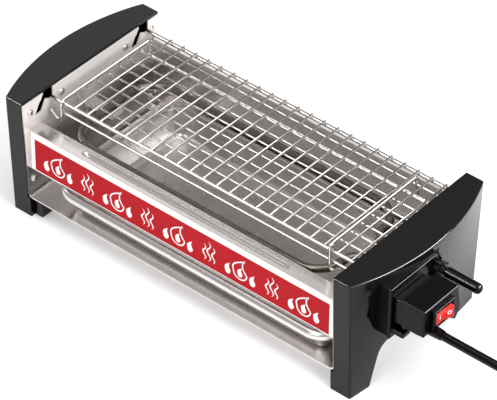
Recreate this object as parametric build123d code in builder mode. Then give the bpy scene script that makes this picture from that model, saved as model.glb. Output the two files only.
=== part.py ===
"""Electric table grill: two moulded end panels, a folded steel tub with a drip tray and a
sheathed heater, a wire net that lifts off, and a pull-off power unit with switch and cord."""
import os
from math import cos, pi, radians, sin, sqrt, tan

from build123d import *

os.makedirs("parts", exist_ok=True)

# Overall size of the body, in millimetres: X along the grill, front towards -Y, Z up.
inner_length = 292.0  # between the two side plates
body_depth = 152.0  # end panels, front to back, along their tops
body_height = 108.0
overrun = 2.0  # every cut runs this far past the material

# Steel tub: a floor and two side plates bent from one sheet.
sheet = 1.0
floor_height = 18.0  # underside of the floor above the table
tub_bend = 4.0
plate_setback = 1.0  # plate edges behind the front and back faces of the panels
deck_gap = 0.2  # plate tops under the panel decks

# End panels: hollow mouldings with a straight inner rim and a bowed outer face.
panel_width = 15.0  # at the front and back corners
panel_bow = 16.5
foot_bow = 4.5
panel_lean = 4.3  # front and back faces lean in by this much at the foot
panel_wall = 2.5
foot_floor = 3.0
deck_round = 1.2
corner_round = 1.5
leg_foot = 23.5  # front of the panel to the arch, along the table
arch_height = 39.5
arch_lean = 7.9
arch_round = 14.0
ledge_reach = 2.5  # legs step in under the floor of the tub
lug_reach = 11.0
lug_width = 11.0
lug_setback = 3.3
lug_lift = 1.5
boss_diameter = 7.0

# Screws that hold the side plates to the panels, set out from the edges, the decks and the net rods.
screw_head = 5.6
screw_rise = 1.7
screw_shank = 3.0
screw_reach = 8.0
screw_gap = 0.1
head_round_share = 0.8
screw_edge = 8.7
screw_low_edge = 10.6
screw_drop = 12.0
screw_lift = 14.0
screw_behind = 10.8
screw_ahead = 24.2

# Front panel, back panel and label.
front_setback = 7.0  # face of the front panel behind the panel fronts
front_sheet = 0.8
front_gap = 2.7  # above the tray
front_drop = 27.0  # below the decks
front_flange = 13.0
front_lip = 5.0
front_hem = 6.0
bead_length = 200.0
bead_width = 4.6
bead_depth = 1.0
tab_height = 9.0
tab_rise = 12.0
tab_gap = 0.15
back_drop = 18.0
back_hem = 4.0
back_lip = 3.0
label_thick = 0.3
label_margin = 1.0
label_side = 2.0

# Drip tray, pressed from thin sheet with sloping walls.
tray_sheet = 0.8
tray_side = 30.0  # shorter than the tub
tray_room = 18.0  # shallower than the end panels
tray_height = 23.0
tray_slope = 9.0
tray_corner = 17.0
tray_bend = 5.0
tray_rim = 2.5
tray_offset = 9.5
tray_lead = 3.5  # rim ahead of the label
tray_gap = 0.3

# Sheathed heater, bent from one tube.
tube = 6.6
heater_drop = 38.0  # below the decks
heater_setback = 30.0
heater_left = 18.0  # from the side plates
heater_right = 32.0
heater_bend = 22.0
terminal_bend = 11.0
terminal_half = 11.0
cold_end = 8.0  # length of tube inside the right panel
bush_diameter = 11.0
bush_flange = 15.0
bush_length = 5.0
bush_rim = 1.5
bush_gap = 0.1
post_diameter = 3.0
post_length = 5.0
strap_width = 12.0
strap_sheet = 1.2
strap_drop = 14.0
strap_curl = 4.0
strap_gap = 0.05

# Wire net: frame rods in the plate notches, lower rods, mesh, end bar and lift bar with feet.
rod = 3.2
lower_rod = 2.4
bar = 2.6
wire = 1.8
net_drop = 10.0  # rods below the decks
net_setback = 31.8
net_back_setback = 14.2
net_rows = 9
cross_count = 22
net_left = 12.8  # end bar and last cross wire from the side plates
net_right = 6.4
rod_inset = 0.4  # rod ends inside the outer faces of the plates
lower_drop = 9.0
bar_rise = 7.0  # lift bar above the rods
foot_drop = 18.0
foot_run = 10.5
weld_gap = 0.05
lift_share = 0.9325  # place of the lift bar along the mesh
notch_gap = 0.3
notch_lip = 9.0
notch_rise = 4.5
slot_width = 4.6
slot_drop = 12.5
slot_lean = 7.0

# Lead wires between the pins and the heater.
lead = 2.0
lead_back = 4.0  # how far each lead stands behind the pins
lead_far = 7.6
lead_high = 3.0
lead_low = 7.0
lead_rise = 7.0
lead_bend = 2.0

# Power unit: flange, cover, switch, release rod and contacts.
unit_front = -55.0
unit_back = 2.0
unit_drop = 5.5  # flange top below the deck
unit_height = 31.5
unit_gap = 16.4  # back of the flange beyond the corner line of the panel
flange_thick = 3.5
flange_round = 2.0
flange_corner = 6.5
tongue_width = 9.0
tongue_drop = 9.0
tongue_reach = 10.0
cover_length = 29.0
cover_back = -16.6
cover_step = 2.7  # cover top below the flange top
cover_wall = 2.0
cover_draft = 1.0
cover_rise = 4.6  # underside, from the flange to the end face
belly = 3.2  # back of the cover, at its widest
belly_drop = 16.0
lobe_drop = 7.0  # lower back corner of the end face
lobe_back = -18.2
lobe_front = -27.6
cover_round = 1.2
pin_diameter = 4.0
pin_spacing = 17.0
pin_y = -34.5
pin_drop = 16.0
pin_reach = 6.0
pin_tail = 7.0
pin_gap = 0.5
sleeve_wall = 1.2
sleeve_gap = 0.15
sleeve_length = 7.0
contact_margin = 3.0
contact_height = 10.0
seat_gap = 0.2
cutout_diameter = 6.0
cutout_thick = 5.0
cutout_drop = 24.2
socket_front = -51.0
socket_back = 1.5
socket_step = 4.0
socket_depth = 15.0
socket_flange = 2.5
socket_rim = 2.5
face_gap = 0.3

# Rocker switch in the end face of the cover.
bezel_y = -36.0
bezel_drop = 14.9
bezel_width = 24.0
bezel_height = 15.6
bezel_thick = 3.2
bezel_round = 1.5
switch_width = 20.0
switch_height = 13.4
switch_depth = 18.0
rocker_width = 16.0
rocker_height = 10.4
rocker_gap = 1.0
rocker_side = 0.4
axle = 2.4
axle_gap = 0.3
rocker_pivot = 4.0  # pivot behind the front of the bezel
rocker_drop = 7.0
rocker_stand = 1.6
rocker_tilt = 11.0
rocker_valley = 1.55
pocket_depth = 13.0

# Release rod with its crowned collar and spring.
release_y = -3.5
release_drop = 11.5
stem_diameter = 5.4
handle_diameter = 8.2
handle_length = 29.7
crown_diameter = 11.0
crown_bore = 9.0
crown_length = 4.3
crown_reach = 8.6  # points of the lugs from the middle of the rod
crown_base = 4.4
crown_tip = 1.2
crown_lugs = (-6, 113, 232)  # degrees, from the back upwards
release_gap = 5.0  # crown to handle, room for the push
nose_reach = 3.4
nose_depth = 9.0
dome_share = 0.42
stem_gap = 0.4
spring_wire = 0.9
spring_diameter = 7.2
spring_turns = 4
spring_gap = 0.3

# Cord, gland, plug.
cord = 6.6
cord_y = -44.0
cord_drop = 27.0
gland_bore_gap = 0.15
gland_inside = 14.0
gland_outside = 8.0
gland_root = 8.6
gland_tip = 7.6
cord_straight = 65.0  # past the place where the photo ends
fall_runs = (30.0, 27.0, 27.0, 26.0, 24.0, 22.0)
fall_headings = ((2, 14), (8, 34), (22, 50), (45, 46), (70, 25), (90, 0))  # turn and dip in degrees
bend_share = 0.45
climb_share = 0.5  # part of a turn in which the coil climbs
turn_step = 0.001
coil_turns = 2.75  # from the outside of one layer to the middle of the climb
coil_pitch = 7.2
coil_inner = 27.0
coil_step = 7.2
tie_thick = 0.8
tie_width = 7.0
tie_gap = 0.5
tail = 10.0
plug_relief = 22.0
plug_relief_tip = 8.0
plug_relief_root = 12.0
plug_length = 34.0
plug_width = 27.0
plug_thick = 22.0
plug_round = 4.0
blade_width = 6.3
blade_thick = 1.5
blade_length = 17.0
blade_spacing = 12.7
blade_sink = 4.0

# Places that several pieces share. The body stands off-centre, so that the whole is centred.
half_inner = inner_length / 2
plate_outer = half_inner + sheet
corner_line = plate_outer + panel_width
flange_back = corner_line + unit_gap
flange_front = flange_back + flange_thick
handle_start = flange_front + crown_length + release_gap
reach_right = handle_start + handle_length
reach_left = corner_line + panel_bow
mid_x = (reach_left - reach_right) / 2
floor_top = floor_height + sheet
plate_top = body_height - panel_wall - deck_gap
front_face = -body_depth / 2 + front_setback
back_face = -front_face
tray_bottom = floor_top + tray_gap
tray_top = tray_bottom + tray_height
front_bottom = tray_top + front_gap
front_top = body_height - front_drop
tab_level = front_bottom + tab_rise
back_top = body_height - back_drop
arch_half = body_depth / 2 - leg_foot
heater_level = body_height - heater_drop
heater_back = body_depth / 2 - heater_setback
heater_front = -heater_back
net_level = body_height - net_drop
net_front = -body_depth / 2 + net_setback
net_back = body_depth / 2 - net_back_setback
net_pitch = (net_back - net_front) / net_rows
cross_pitch = (inner_length - net_left - net_right) / cross_count
bar_x = mid_x - half_inner + net_left
rod_end = plate_outer - rod_inset
mesh_bottom = net_level + rod / 2
lift_x = bar_x + lift_share * cross_pitch * cross_count
unit_top = body_height - unit_drop
unit_bottom = unit_top - unit_height
cover_top = unit_top - cover_step
socket_top = unit_top - socket_step
socket_bottom = unit_bottom + socket_step
pin_level = unit_top - pin_drop
cutout_level = unit_top - cutout_drop
bezel_level = unit_top - bezel_drop
release_level = unit_top - release_drop
cord_level = unit_top - cord_drop
cover_end = flange_front + cover_length


def depth_at(level):
    """Depth of an end panel at a height: the faces lean in towards the feet."""
    return body_depth - 2 * panel_lean * (1 - level / body_height)


def bow_at(level):
    """Bow of an end panel's outer face at a height."""
    return foot_bow + (panel_bow - foot_bow) * level / body_height


def panel_outline(inner, outer, depth, bow):
    """Plan outline of an end panel: straight rim, square ends and a bowed outer side."""
    with BuildLine() as outline:
        rim = Polyline((outer, depth / 2), (inner, depth / 2), (inner, -depth / 2), (outer, -depth / 2))
        ThreePointArc(rim @ 1, (outer + bow, 0), rim @ 0)
    make_face(outline.edges())


def arch_outline(grow):
    """Side view of the arch between two legs, grown by a wall, with rounded upper corners."""
    top_half = arch_half - arch_lean + grow
    foot_half = arch_half + grow
    with BuildLine() as outline:
        FilletPolyline(
            (-foot_half, -overrun), (-top_half, arch_height + grow),
            (top_half, arch_height + grow), (foot_half, -overrun), radius=arch_round + grow)
        Line((foot_half, -overrun), (-foot_half, -overrun))
    make_face(outline.edges())


upper_screws = body_height - screw_drop
lower_screws = floor_top + screw_lift
half_depth = body_depth / 2
screw_places = [
    (screw_edge - half_depth, upper_screws), (net_front + screw_behind, upper_screws),
    (net_back - screw_ahead, upper_screws), (half_depth - screw_edge, upper_screws),
    (screw_low_edge - half_depth, lower_screws), (half_depth - screw_low_edge, lower_screws)]

# Hollow of an end panel, open towards the tub, with a wall left round the arch.
with BuildPart() as panel_hollow:
    for level in (foot_floor, body_height - panel_wall):
        with BuildSketch(Plane.XY.offset(level)):
            panel_outline(
                mid_x + plate_outer - overrun, mid_x + corner_line - panel_wall,
                depth_at(level) - 2 * panel_wall, bow_at(level))
    loft(ruled=True)
    with BuildSketch(Plane.YZ.offset(mid_x)):
        arch_outline(panel_wall)
    extrude(amount=reach_right, mode=Mode.SUBTRACT)
    with BuildSketch(Plane.YZ.offset(mid_x)):
        with Locations(*screw_places):
            Circle(boss_diameter / 2)
        with Locations(*[place for place in screw_places if place[1] > body_height / 2]):
            Rectangle(boss_diameter, body_height, align=(Align.CENTER, Align.MIN))
    extrude(amount=reach_right, mode=Mode.SUBTRACT)

# Right-hand moulding before its socket opening: shell, arch, ledges, back lug and screw bosses.
foot_edge = depth_at(0) / 2
lug_y = foot_edge - lug_setback - lug_width / 2
with BuildPart() as end_shell:
    for level in (0, body_height):
        with BuildSketch(Plane.XY.offset(level)):
            panel_outline(mid_x + plate_outer, mid_x + corner_line, depth_at(level), bow_at(level))
    loft(ruled=True)
    corners = end_shell.edges().filter_by(lambda e: e.length > body_height / 2).sort_by(Axis.X)[-4:]
    fillet(corners.filter_by(lambda e: abs(e.center().Z - body_height / 2) < corner_round), corner_round)
    fillet(end_shell.faces().sort_by(Axis.Z)[-1].edges().sort_by(Axis.X)[1:], deck_round)
    with BuildSketch(Plane.YZ.offset(mid_x)):
        arch_outline(0)
    extrude(amount=reach_right, mode=Mode.SUBTRACT)
    add(panel_hollow.part, mode=Mode.SUBTRACT)
    for side in (-1, 1):
        floor_edge = depth_at(floor_height) / 2
        with BuildSketch(Plane.YZ.offset(mid_x + plate_outer - ledge_reach)):
            arch_edge = arch_half - arch_lean * floor_height / arch_height
            Polygon(
                (side * foot_edge, 0), (side * floor_edge, floor_height),
                (side * arch_edge, floor_height), (side * arch_half, 0), align=None)
        extrude(amount=ledge_reach)
    with BuildSketch(Plane.XY.offset(lug_lift)):
        with Locations((mid_x + plate_outer - lug_reach / 2, lug_y)):
            Rectangle(lug_reach, lug_width)
    extrude(amount=floor_height - lug_lift)
    with BuildSketch(Plane.YZ.offset(mid_x + plate_outer)):
        with Locations(*screw_places):
            Circle(screw_shank / 2 + screw_gap)
    extrude(amount=screw_reach, mode=Mode.SUBTRACT)

# Left panel, which has a lug under the front of the tub as well.
with BuildPart() as left_end_panel:
    mirror(end_shell.part, about=Plane.YZ.offset(mid_x))
    with BuildSketch(Plane.XY.offset(lug_lift)):
        with Locations((mid_x - plate_outer + lug_reach / 2, -lug_y)):
            Rectangle(lug_reach, lug_width)
    extrude(amount=floor_height - lug_lift)
left_end_panel.part.label = "left_end_panel"
export_step(left_end_panel.part, "parts/left_end_panel.step")

socket_y = (socket_front + socket_back) / 2
socket_z = (socket_bottom + socket_top) / 2
socket_width = socket_back - socket_front
socket_height = socket_top - socket_bottom
socket_face = mid_x + flange_back - face_gap
socket_inside = socket_face - socket_depth
with BuildPart() as right_end_panel:
    add(end_shell.part)
    with BuildSketch(Plane.YZ.offset(mid_x + corner_line)):
        with Locations((socket_y, socket_z)):
            Rectangle(socket_width + 2 * seat_gap, socket_height + 2 * seat_gap)
    extrude(amount=panel_bow + overrun, mode=Mode.SUBTRACT)
    with BuildSketch(Plane.YZ.offset(socket_inside - seat_gap)):
        with Locations((socket_y, socket_z)):
            Rectangle(socket_width + 2 * (socket_rim + seat_gap), socket_height + 2 * (socket_rim + seat_gap))
    extrude(amount=socket_flange + 2 * seat_gap, mode=Mode.SUBTRACT)
right_end_panel.part.label = "right_end_panel"
export_step(right_end_panel.part, "parts/right_end_panel.step")

# Tub: a U of sheet with leaning front and back edges, notched and drilled.
hold = rod / 2 + notch_gap
notch_slope = notch_rise / notch_lip
seat_level = net_level - hold * (sqrt(1 + notch_slope * notch_slope) + notch_slope)
with BuildPart() as tub:
    with BuildSketch(Plane.XZ.offset(-body_depth / 2)):
        with Locations((mid_x, floor_height)):
            Rectangle(2 * plate_outer, plate_top - floor_height, align=(Align.CENTER, Align.MIN))
        fillet(vertices().group_by(Axis.Y)[0], tub_bend)
    extrude(amount=body_depth)
    with BuildSketch(Plane.XZ.offset(-body_depth / 2 - overrun)):
        with Locations((mid_x, floor_top)):
            Rectangle(inner_length, body_height, align=(Align.CENTER, Align.MIN))
        fillet(vertices().group_by(Axis.Y)[0], tub_bend - sheet)
    extrude(amount=body_depth + 2 * overrun, mode=Mode.SUBTRACT)
    low_half = depth_at(0) / 2 - plate_setback
    high_half = depth_at(body_height) / 2 - plate_setback
    with BuildSketch(Plane.YZ.offset(mid_x - plate_outer - overrun)):
        Polygon(
            (-low_half, 0), (low_half, 0), (high_half, body_height), (-high_half, body_height), align=None)
    extrude(amount=2 * (plate_outer + overrun), mode=Mode.INTERSECT)
    with BuildSketch(Plane.YZ.offset(mid_x - plate_outer - overrun)):
        for rod_y in (net_front, net_back):
            wall_y = rod_y + hold
            lip_y = wall_y - notch_lip
            lip_z = seat_level + notch_rise
            slot_y = lip_y - slot_lean
            slot_z = lip_z - slot_drop
            top_z = plate_top + overrun
            shift = slot_lean / slot_drop * (top_z - lip_z)
            Polygon(
                (wall_y, top_z), (wall_y, seat_level), (lip_y, lip_z), (slot_y, slot_z),
                (slot_y - slot_width, slot_z), (lip_y - slot_width + shift, top_z), align=None)
    extrude(amount=2 * (plate_outer + overrun), mode=Mode.SUBTRACT)
    with BuildSketch(Plane.YZ.offset(mid_x - plate_outer - overrun)):
        with Locations(*screw_places):
            Circle(screw_shank / 2 + screw_gap)
        with Locations((front_face + front_sheet / 2, tab_level)):
            Rectangle(front_sheet + 2 * tab_gap, tab_height + 2 * tab_gap)
    extrude(amount=2 * (plate_outer + overrun), mode=Mode.SUBTRACT)
    with BuildSketch(Plane.YZ.offset(mid_x)):
        with Locations((-terminal_half, heater_level), (terminal_half, heater_level)):
            Circle(bush_diameter / 2 + bush_gap)
    extrude(amount=plate_outer + overrun, mode=Mode.SUBTRACT)
tub.part.label = "tub"
export_step(tub.part, "parts/tub.step")

# Front panel: face, flange folded back at the top with a pressed bead, hem and end tabs.
with BuildPart() as front_panel:
    with BuildSketch(Plane.YZ.offset(mid_x - half_inner)):
        with BuildLine():
            Polyline(
                (front_face + front_hem, front_bottom), (front_face, front_bottom), (front_face, front_top),
                (front_face + front_flange, front_top), (front_face + front_flange, front_top - front_lip),
                (front_face + front_flange - front_sheet, front_top - front_lip),
                (front_face + front_flange - front_sheet, front_top - front_sheet),
                (front_face + front_sheet, front_top - front_sheet),
                (front_face + front_sheet, front_bottom + front_sheet),
                (front_face + front_hem, front_bottom + front_sheet), close=True)
        make_face()
    extrude(amount=inner_length)
    bead_y = front_face + front_flange / 2
    with BuildSketch(Plane.XY.offset(front_top - front_sheet - bead_depth)):
        with Locations((mid_x, bead_y)):
            SlotOverall(bead_length, bead_width + 2 * front_sheet)
    extrude(amount=bead_depth)
    with BuildSketch(Plane.XY.offset(front_top - bead_depth)):
        with Locations((mid_x, bead_y)):
            SlotOverall(bead_length - 2 * front_sheet, bead_width)
    extrude(amount=bead_depth + overrun, mode=Mode.SUBTRACT)
    with BuildSketch(Plane.YZ.offset(mid_x - plate_outer)):
        with Locations((front_face + front_sheet / 2, tab_level)):
            Rectangle(front_sheet, tab_height)
    extrude(amount=2 * plate_outer)
front_panel.part.label = "front_panel"
export_step(front_panel.part, "parts/front_panel.step")

# Back panel: stands on the floor of the tub, with its top edge folded forwards.
with BuildPart() as back_panel:
    with BuildSketch(Plane.YZ.offset(mid_x - half_inner + tub_bend)):
        with BuildLine():
            Polyline(
                (back_face, floor_top), (back_face, back_top), (back_face - back_hem, back_top),
                (back_face - back_hem, back_top - back_lip),
                (back_face - back_hem + front_sheet, back_top - back_lip),
                (back_face - back_hem + front_sheet, back_top - front_sheet),
                (back_face - front_sheet, back_top - front_sheet), (back_face - front_sheet, floor_top),
                close=True)
        make_face()
    extrude(amount=inner_length - 2 * tub_bend)
    with BuildSketch(Plane.YZ.offset(mid_x - half_inner)):
        with Locations((back_face - front_sheet / 2, floor_top + tub_bend)):
            Rectangle(front_sheet, back_top - floor_top - tub_bend, align=(Align.CENTER, Align.MIN))
    extrude(amount=inner_length)
back_panel.part.label = "back_panel"
export_step(back_panel.part, "parts/back_panel.step")

# Label: a printed sheet glued to the front panel.
with BuildPart() as front_label:
    with BuildSketch(Plane.XZ.offset(-front_face)):
        with Locations((mid_x, (front_bottom + front_top) / 2)):
            Rectangle(inner_length - 2 * label_side, front_top - front_bottom - 2 * label_margin)
    extrude(amount=label_thick)
front_label.part.label = "front_label"
export_step(front_label.part, "parts/front_label.step")

# Drip tray: outer form less its inside, with a small rim round the top.
tray_length = inner_length - tray_side
tray_depth = body_depth - tray_room
tray_x = mid_x + tray_offset
tray_front = front_face - label_thick - tray_lead
tray_y = tray_front + tray_rim + tray_depth / 2


def tray_outline(grow, inset):
    """Plan of the tray: a rounded rectangle that shrinks towards its floor."""
    with Locations((tray_x, tray_y)):
        RectangleRounded(
            tray_length - 2 * (tray_rim + inset) + 2 * grow, tray_depth - 2 * inset + 2 * grow,
            tray_corner - inset + grow)


with BuildPart() as tray_inside:
    for level, inset in ((tray_bottom + tray_sheet, tray_slope), (tray_top + tray_sheet, 0)):
        with BuildSketch(Plane.XY.offset(level)):
            tray_outline(-tray_sheet, inset)
    loft(ruled=True)
    fillet(tray_inside.faces().sort_by(Axis.Z)[0].edges(), tray_bend - tray_sheet)

with BuildPart() as drip_tray:
    for level, inset in ((tray_bottom, tray_slope), (tray_top, 0)):
        with BuildSketch(Plane.XY.offset(level)):
            tray_outline(0, inset)
    loft(ruled=True)
    fillet(drip_tray.faces().sort_by(Axis.Z)[0].edges(), tray_bend)
    with BuildSketch(Plane.XY.offset(tray_top - tray_sheet)):
        tray_outline(tray_rim, 0)
    extrude(amount=tray_sheet)
    add(tray_inside.part, mode=Mode.SUBTRACT)
drip_tray.part.label = "drip_tray"
export_step(drip_tray.part, "parts/drip_tray.step")

# Heater: one tube bent into a long loop, both ends through the right side plate.
heater_end = mid_x + plate_outer + cold_end
near_x = mid_x + half_inner - heater_right
far_x = mid_x - half_inner + heater_left
with BuildPart() as heater:
    with BuildLine() as heater_path:
        FilletPolyline(
            (heater_end, -terminal_half, heater_level), (near_x, -terminal_half, heater_level),
            (near_x, heater_front, heater_level), (far_x, heater_front, heater_level),
            (far_x, heater_back, heater_level), (near_x, heater_back, heater_level),
            (near_x, terminal_half, heater_level), (heater_end, terminal_half, heater_level),
            radius=(terminal_bend, heater_bend, heater_bend, heater_bend, heater_bend, terminal_bend))
    with BuildSketch(Plane(heater_path.line @ 0, z_dir=heater_path.line % 0)):
        Circle(tube / 2)
    sweep(path=heater_path.line)
heater.part.label = "heater"
export_step(heater.part, "parts/heater.step")

with BuildPart() as heater_posts:
    with BuildSketch(Plane.YZ.offset(heater_end)):
        with Locations((-terminal_half, heater_level), (terminal_half, heater_level)):
            Circle(post_diameter / 2)
    extrude(amount=post_length)
heater_posts.part.label = "heater_posts"
export_step(heater_posts.part, "parts/heater_posts.step")

# Bushings that carry the heater ends through the side plate.
with BuildPart() as heater_bushings:
    for offset, diameter, length in (
            (half_inner - bush_rim, bush_flange, bush_rim), (half_inner, bush_diameter, bush_length)):
        with BuildSketch(Plane.YZ.offset(mid_x + offset)):
            with Locations((-terminal_half, heater_level), (terminal_half, heater_level)):
                Circle(diameter / 2)
                Circle(tube / 2 + bush_gap, mode=Mode.SUBTRACT)
        extrude(amount=length)
heater_bushings.part.label = "heater_bushings"
export_step(heater_bushings.part, "parts/heater_bushings.step")

# Bracket on the left side plate, under the far bend of the heater.
arm_top = heater_level - tube / 2 - strap_gap
strap_back = mid_x - half_inner
arm_end = far_x + tube / 2 + strap_curl
with BuildPart() as heater_bracket:
    with BuildSketch(Plane.XZ.offset(-strap_width / 2)):
        with BuildLine():
            Polyline(
                (strap_back, arm_top - strap_drop), (strap_back, arm_top), (arm_end - strap_sheet, arm_top),
                (arm_end - strap_sheet, arm_top + strap_curl), (arm_end, arm_top + strap_curl),
                (arm_end, arm_top - strap_sheet), (strap_back + strap_sheet, arm_top - strap_sheet),
                (strap_back + strap_sheet, arm_top - strap_drop), close=True)
        make_face()
    extrude(amount=strap_width)
heater_bracket.part.label = "heater_bracket"
export_step(heater_bracket.part, "parts/heater_bracket.step")

# Screws through the side plates into the panels: domed heads inside the tub.
with BuildPart() as panel_screws:
    for side in (-1, 1):
        with BuildSketch(Plane.YZ.offset(mid_x + side * half_inner)):
            with Locations(*screw_places):
                Circle(screw_shank / 2)
        extrude(amount=side * screw_reach)
        with BuildSketch(Plane.YZ.offset(mid_x + side * half_inner)):
            with Locations(*screw_places):
                Circle(screw_head / 2)
        extrude(amount=-side * screw_rise)
    heads = panel_screws.faces().filter_by(Plane.YZ).filter_by(
        lambda f: abs(abs(f.center().X - mid_x) - half_inner + screw_rise) < screw_gap)
    fillet(heads.edges(), screw_rise * head_round_share)
panel_screws.part.label = "panel_screws"
export_step(panel_screws.part, "parts/panel_screws.step")

# Frame rods of the net, resting in the notches of both side plates.
with BuildPart() as net_rods:
    with BuildSketch(Plane.YZ.offset(mid_x - rod_end)):
        with Locations((net_front, net_level), (net_back, net_level)):
            Circle(rod / 2)
    extrude(amount=2 * rod_end)
net_rods.part.label = "net_rods"
export_step(net_rods.part, "parts/net_rods.step")

# Mesh: long wires and cross wires as one flat grid on top of the rods.
mesh_left = bar_x + bar / 2 + weld_gap
mesh_end = bar_x + cross_pitch * cross_count + wire / 2
row_span = net_pitch * net_rows
with BuildPart() as net_mesh:
    with BuildSketch(Plane.XY.offset(mesh_bottom + weld_gap)):
        for row in range(1, net_rows):
            with Locations((mesh_left, net_front + net_pitch * row)):
                Rectangle(mesh_end - mesh_left, wire, align=(Align.MIN, Align.CENTER))
        for column in range(1, cross_count + 1):
            with Locations((bar_x + cross_pitch * column, net_front + row_span / 2)):
                Rectangle(wire, row_span + rod)
    extrude(amount=wire)
net_mesh.part.label = "net_mesh"
export_step(net_mesh.part, "parts/net_mesh.step")

# End bar and lift bar: bent wires whose ends turn down beside the rods and hook back as feet.
leg_front = net_front - (rod + bar) / 2 - weld_gap
leg_back = net_front + net_pitch * (net_rows - 1) + (wire + bar) / 2 + weld_gap
lower_level = net_level - lower_drop
bar_bend = (rod + bar) / 2 + weld_gap  # the end bar bends closely round the rod
foot_level = net_level - foot_drop


def bar_path(x, top, run):
    """Path of a bar: hooked foot, leg, crossing, leg and hooked foot."""
    return FilletPolyline(
        (x + run, leg_front, lower_level), (x, leg_front, foot_level), (x, leg_front, top),
        (x, leg_back, top), (x, leg_back, foot_level), (x + run, leg_back, lower_level), radius=bar_bend)


with BuildPart() as net_end_bar:
    with BuildLine() as end_path:
        bar_path(bar_x, mesh_bottom + bar / 2 + weld_gap, -foot_run)
    with BuildSketch(Plane(end_path.line @ 0, z_dir=end_path.line % 0)):
        Circle(bar / 2)
    sweep(path=end_path.line)
net_end_bar.part.label = "net_end_bar"
export_step(net_end_bar.part, "parts/net_end_bar.step")

with BuildPart() as net_lift_bar:
    with BuildLine() as lift_path:
        bar_path(lift_x, net_level + bar_rise, foot_run)
    with BuildSketch(Plane(lift_path.line @ 0, z_dir=lift_path.line % 0)):
        Circle(bar / 2)
    sweep(path=lift_path.line)
net_lift_bar.part.label = "net_lift_bar"
export_step(net_lift_bar.part, "parts/net_lift_bar.step")

# Lower rods, welded to the inner sides of the legs.
leg_weld = (bar + lower_rod) / 2 + weld_gap
with BuildPart() as net_lower_rods:
    with BuildSketch(Plane.YZ.offset(bar_x - bar / 2)):
        with Locations((leg_front + leg_weld, lower_level), (leg_back - leg_weld, lower_level)):
            Circle(lower_rod / 2)
    extrude(amount=mesh_end - bar_x + bar / 2)
net_lower_rods.part.label = "net_lower_rods"
export_step(net_lower_rods.part, "parts/net_lower_rods.step")

# Socket block in the right panel, with a rim behind its wall, two pins and a recess for the rod.
pin_places = [(pin_y - pin_spacing / 2, pin_level), (pin_y + pin_spacing / 2, pin_level)]
with BuildPart() as socket_block:
    with BuildSketch(Plane.YZ.offset(socket_inside)):
        with Locations((socket_y, socket_z)):
            Rectangle(socket_width, socket_height)
    extrude(amount=socket_depth)
    with BuildSketch(Plane.YZ.offset(socket_inside)):
        with Locations((socket_y, socket_z)):
            Rectangle(socket_width + 2 * socket_rim, socket_height + 2 * socket_rim)
    extrude(amount=socket_flange)
    with BuildSketch(Plane.YZ.offset(socket_face - nose_depth)):
        with Locations((release_y, release_level)):
            Circle(stem_diameter / 2 + stem_gap)
    extrude(amount=nose_depth, mode=Mode.SUBTRACT)
    with BuildSketch(Plane.YZ.offset(socket_inside)):
        with Locations(*pin_places):
            Circle(pin_diameter / 2)
    extrude(amount=socket_depth, mode=Mode.SUBTRACT)
socket_block.part.label = "socket_block"
export_step(socket_block.part, "parts/socket_block.step")

pin_end = mid_x + flange_front + pin_reach
with BuildPart() as socket_pins:
    with BuildSketch(Plane.YZ.offset(socket_inside - pin_tail)):
        with Locations(*pin_places):
            Circle(pin_diameter / 2)
    extrude(amount=pin_end - socket_inside + pin_tail)
socket_pins.part.label = "socket_pins"
export_step(socket_pins.part, "parts/socket_pins.step")

# Lead wires in the hollow of the right panel, from the pins to the heater posts.
lead_start = socket_inside - pin_tail
post_x = heater_end + post_length / 2
lead_top = heater_level + post_diameter / 2 + weld_gap
with BuildPart() as lead_wires:
    for place, back, high, post_y in (
            (pin_places[0], lead_far, lead_high, terminal_half),
            (pin_places[1], lead_back, -lead_low, -terminal_half)):
        lead_x = lead_start - back
        with BuildLine() as lead_path:
            FilletPolyline(
                (lead_start, place[0], place[1]), (lead_x, place[0], place[1]),
                (lead_x, (place[0] + post_y) / 2, place[1] + high),
                (post_x, post_y, lead_top + lead_rise), (post_x, post_y, lead_top), radius=lead_bend)
        with BuildSketch(Plane(lead_path.line @ 0, z_dir=lead_path.line % 0)):
            Circle(lead / 2)
        sweep(path=lead_path.line)
lead_wires.part.label = "lead_wires"
export_step(lead_wires.part, "parts/lead_wires.step")

# Flange of the power unit, with a hooked tongue under the cover.
unit_y = (unit_front + unit_back) / 2
unit_z = (unit_bottom + unit_top) / 2
tongue_y = unit_front + flange_round + tongue_width / 2
with BuildPart() as power_flange:
    with BuildSketch(Plane.YZ.offset(mid_x + flange_back)):
        with Locations((unit_y, unit_z)):
            Rectangle(unit_back - unit_front, unit_top - unit_bottom)
        fillet(vertices().sort_by(lambda v: v.X + v.Y)[-1], flange_corner)
        with Locations((tongue_y, unit_bottom - tongue_drop)):
            Rectangle(tongue_width, tongue_drop + flange_round, align=(Align.CENTER, Align.MIN))
    extrude(amount=flange_thick)
    with BuildSketch(Plane.YZ.offset(mid_x + flange_front)):
        with Locations((tongue_y, unit_bottom - tongue_drop)):
            Rectangle(tongue_width, tongue_drop / 2, align=(Align.CENTER, Align.MIN))
    extrude(amount=tongue_reach)
    with BuildSketch(Plane.YZ.offset(mid_x + flange_back)):
        with Locations(*pin_places):
            Circle(pin_diameter / 2 + pin_gap)
        with Locations((release_y, release_level)):
            Circle(stem_diameter / 2 + stem_gap)
    extrude(amount=flange_thick, mode=Mode.SUBTRACT)
power_flange.part.label = "power_flange"
export_step(power_flange.part, "parts/power_flange.step")


def cover_outline(bottom, top, low):
    """End view of the cover: straight in front, its back bellied and run down into the lower corner."""
    widest = cover_back + belly
    Polygon(
        (unit_front, bottom), (unit_front, top), (cover_back, top), (widest, top - belly_drop),
        (widest, bottom), (lobe_back, low), (lobe_front, bottom), align=None)


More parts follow.
